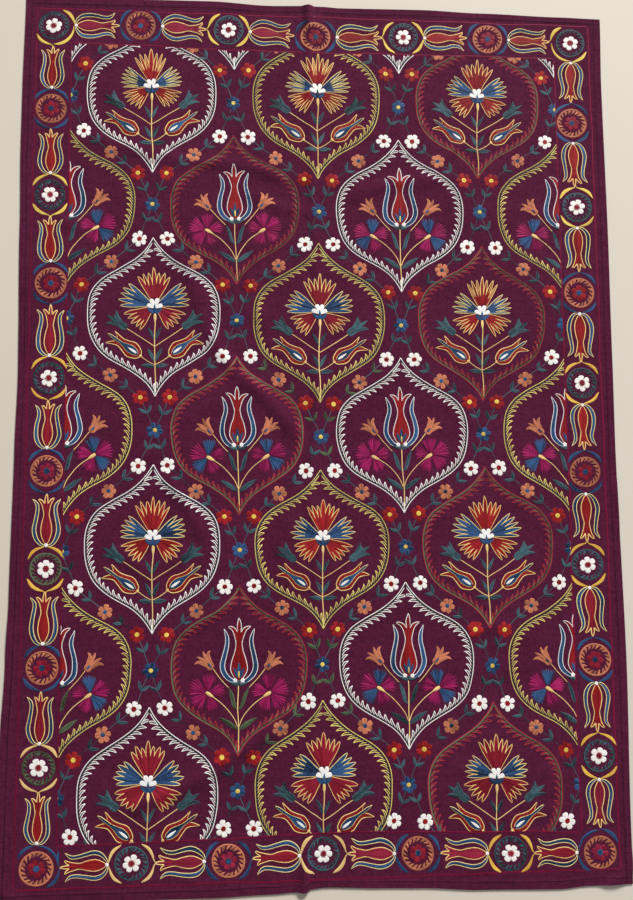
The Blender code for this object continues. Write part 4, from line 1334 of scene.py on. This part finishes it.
total = 0
for name, silk in silks.items():
    if not silk.count:
        continue
    piece = silk_object(silk, sheet)
    piece.data.materials.append(silk_material(name, *SILKS[name]))
    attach(piece, "root")
    print("SILK", name, "triangles", 2 * len(piece.data.polygons))
    total += 2 * len(piece.data.polygons)
print("GROUND triangles", len(ground.data.polygons), "ALL", total + len(ground.data.polygons))

# ------------------------------------------------------------------ floor, light, camera
WORLD = 0.31       # strength of the even light from all round
MAIN = 5.50        # strength of the main light on a surface that faces it
floor_mesh = bpy.data.meshes.new("floor")
floor_mesh.from_pydata([(-9, -9, -0.0006), (9, -9, -0.0006), (9, 9, -0.0006), (-9, 9, -0.0006)], [], [(0, 1, 2, 3)])
floor = bpy.data.objects.new("floor", floor_mesh)
bpy.context.scene.collection.objects.link(floor)
floor_look = Nodes("floor")
place = floor_look.add("ShaderNodeTexCoord").outputs["Object"]
# painted light: the floor's colour grows a little lighter towards +X, standing in for brighter light there; the noise
# makes it lighter in patches
across = floor_look.span(floor_look.add("ShaderNodeSeparateXYZ", {0: place}).outputs[0], -0.9, 0.9)
tint_and_painted_light = floor_look.blend(across, linear((203, 194, 180)), linear((206, 199, 187)))
tint_and_painted_light = floor_look.blend(floor_look.span(floor_look.noise(place, 2.0, 3.0), 0.3, 0.7, 0.0, 0.5), tint_and_painted_light, linear((209, 202, 190)))
floor_look.tree.links.new(tint_and_painted_light, floor_look.shader.inputs["Base Color"])
floor_look.shader.inputs["Roughness"].default_value = 0.7
floor_mesh.materials.append(floor_look.material)

world = bpy.data.worlds.new("studio")
world.use_nodes = True
world.node_tree.nodes["Background"].inputs["Color"].default_value = (1.0, 0.985, 0.965, 1.0)
world.node_tree.nodes["Background"].inputs["Strength"].default_value = WORLD
bpy.context.scene.world = world


def soft_light(name, azimuth, height, distance, size, strength, colour):
    """A large soft light; angles in degrees, azimuth anticlockwise from +X, seen from the origin."""
    data = bpy.data.lights.new(name, "AREA")
    data.shape, data.size, data.color = "DISK", size, colour
    data.energy = strength * math.pi * distance ** 2
    obj = bpy.data.objects.new(name, data)
    a, h = math.radians(azimuth), math.radians(height)
    way = Vector((math.cos(h) * math.cos(a), math.cos(h) * math.sin(a), math.sin(h)))
    obj.location = way * distance
    obj.rotation_euler = way.to_track_quat("Z", "Y").to_euler()
    bpy.context.scene.collection.objects.link(obj)


soft_light("main", 68, 27, 24.0, 8.0, MAIN, (1.0, 0.985, 0.96))

camera_data = bpy.data.cameras.new("camera")
camera = bpy.data.objects.new("camera", camera_data)
camera_data.lens, camera_data.sensor_width, camera_data.sensor_fit = 36.0, 36.0, "AUTO"
camera_data.clip_start, camera_data.clip_end = 0.05, 60
turn = Matrix(((0.99863, 0.00066, -0.05236), (-0.00645, 0.99386, -0.11045), (0.05196, 0.11063, 0.99250)))
camera.matrix_world = Matrix.Translation((-0.12846, -0.32312, 2.32941)) @ turn.to_4x4()
bpy.context.scene.collection.objects.link(camera)
bpy.context.scene.camera = camera
bpy.context.scene.view_settings.view_transform = "Standard"
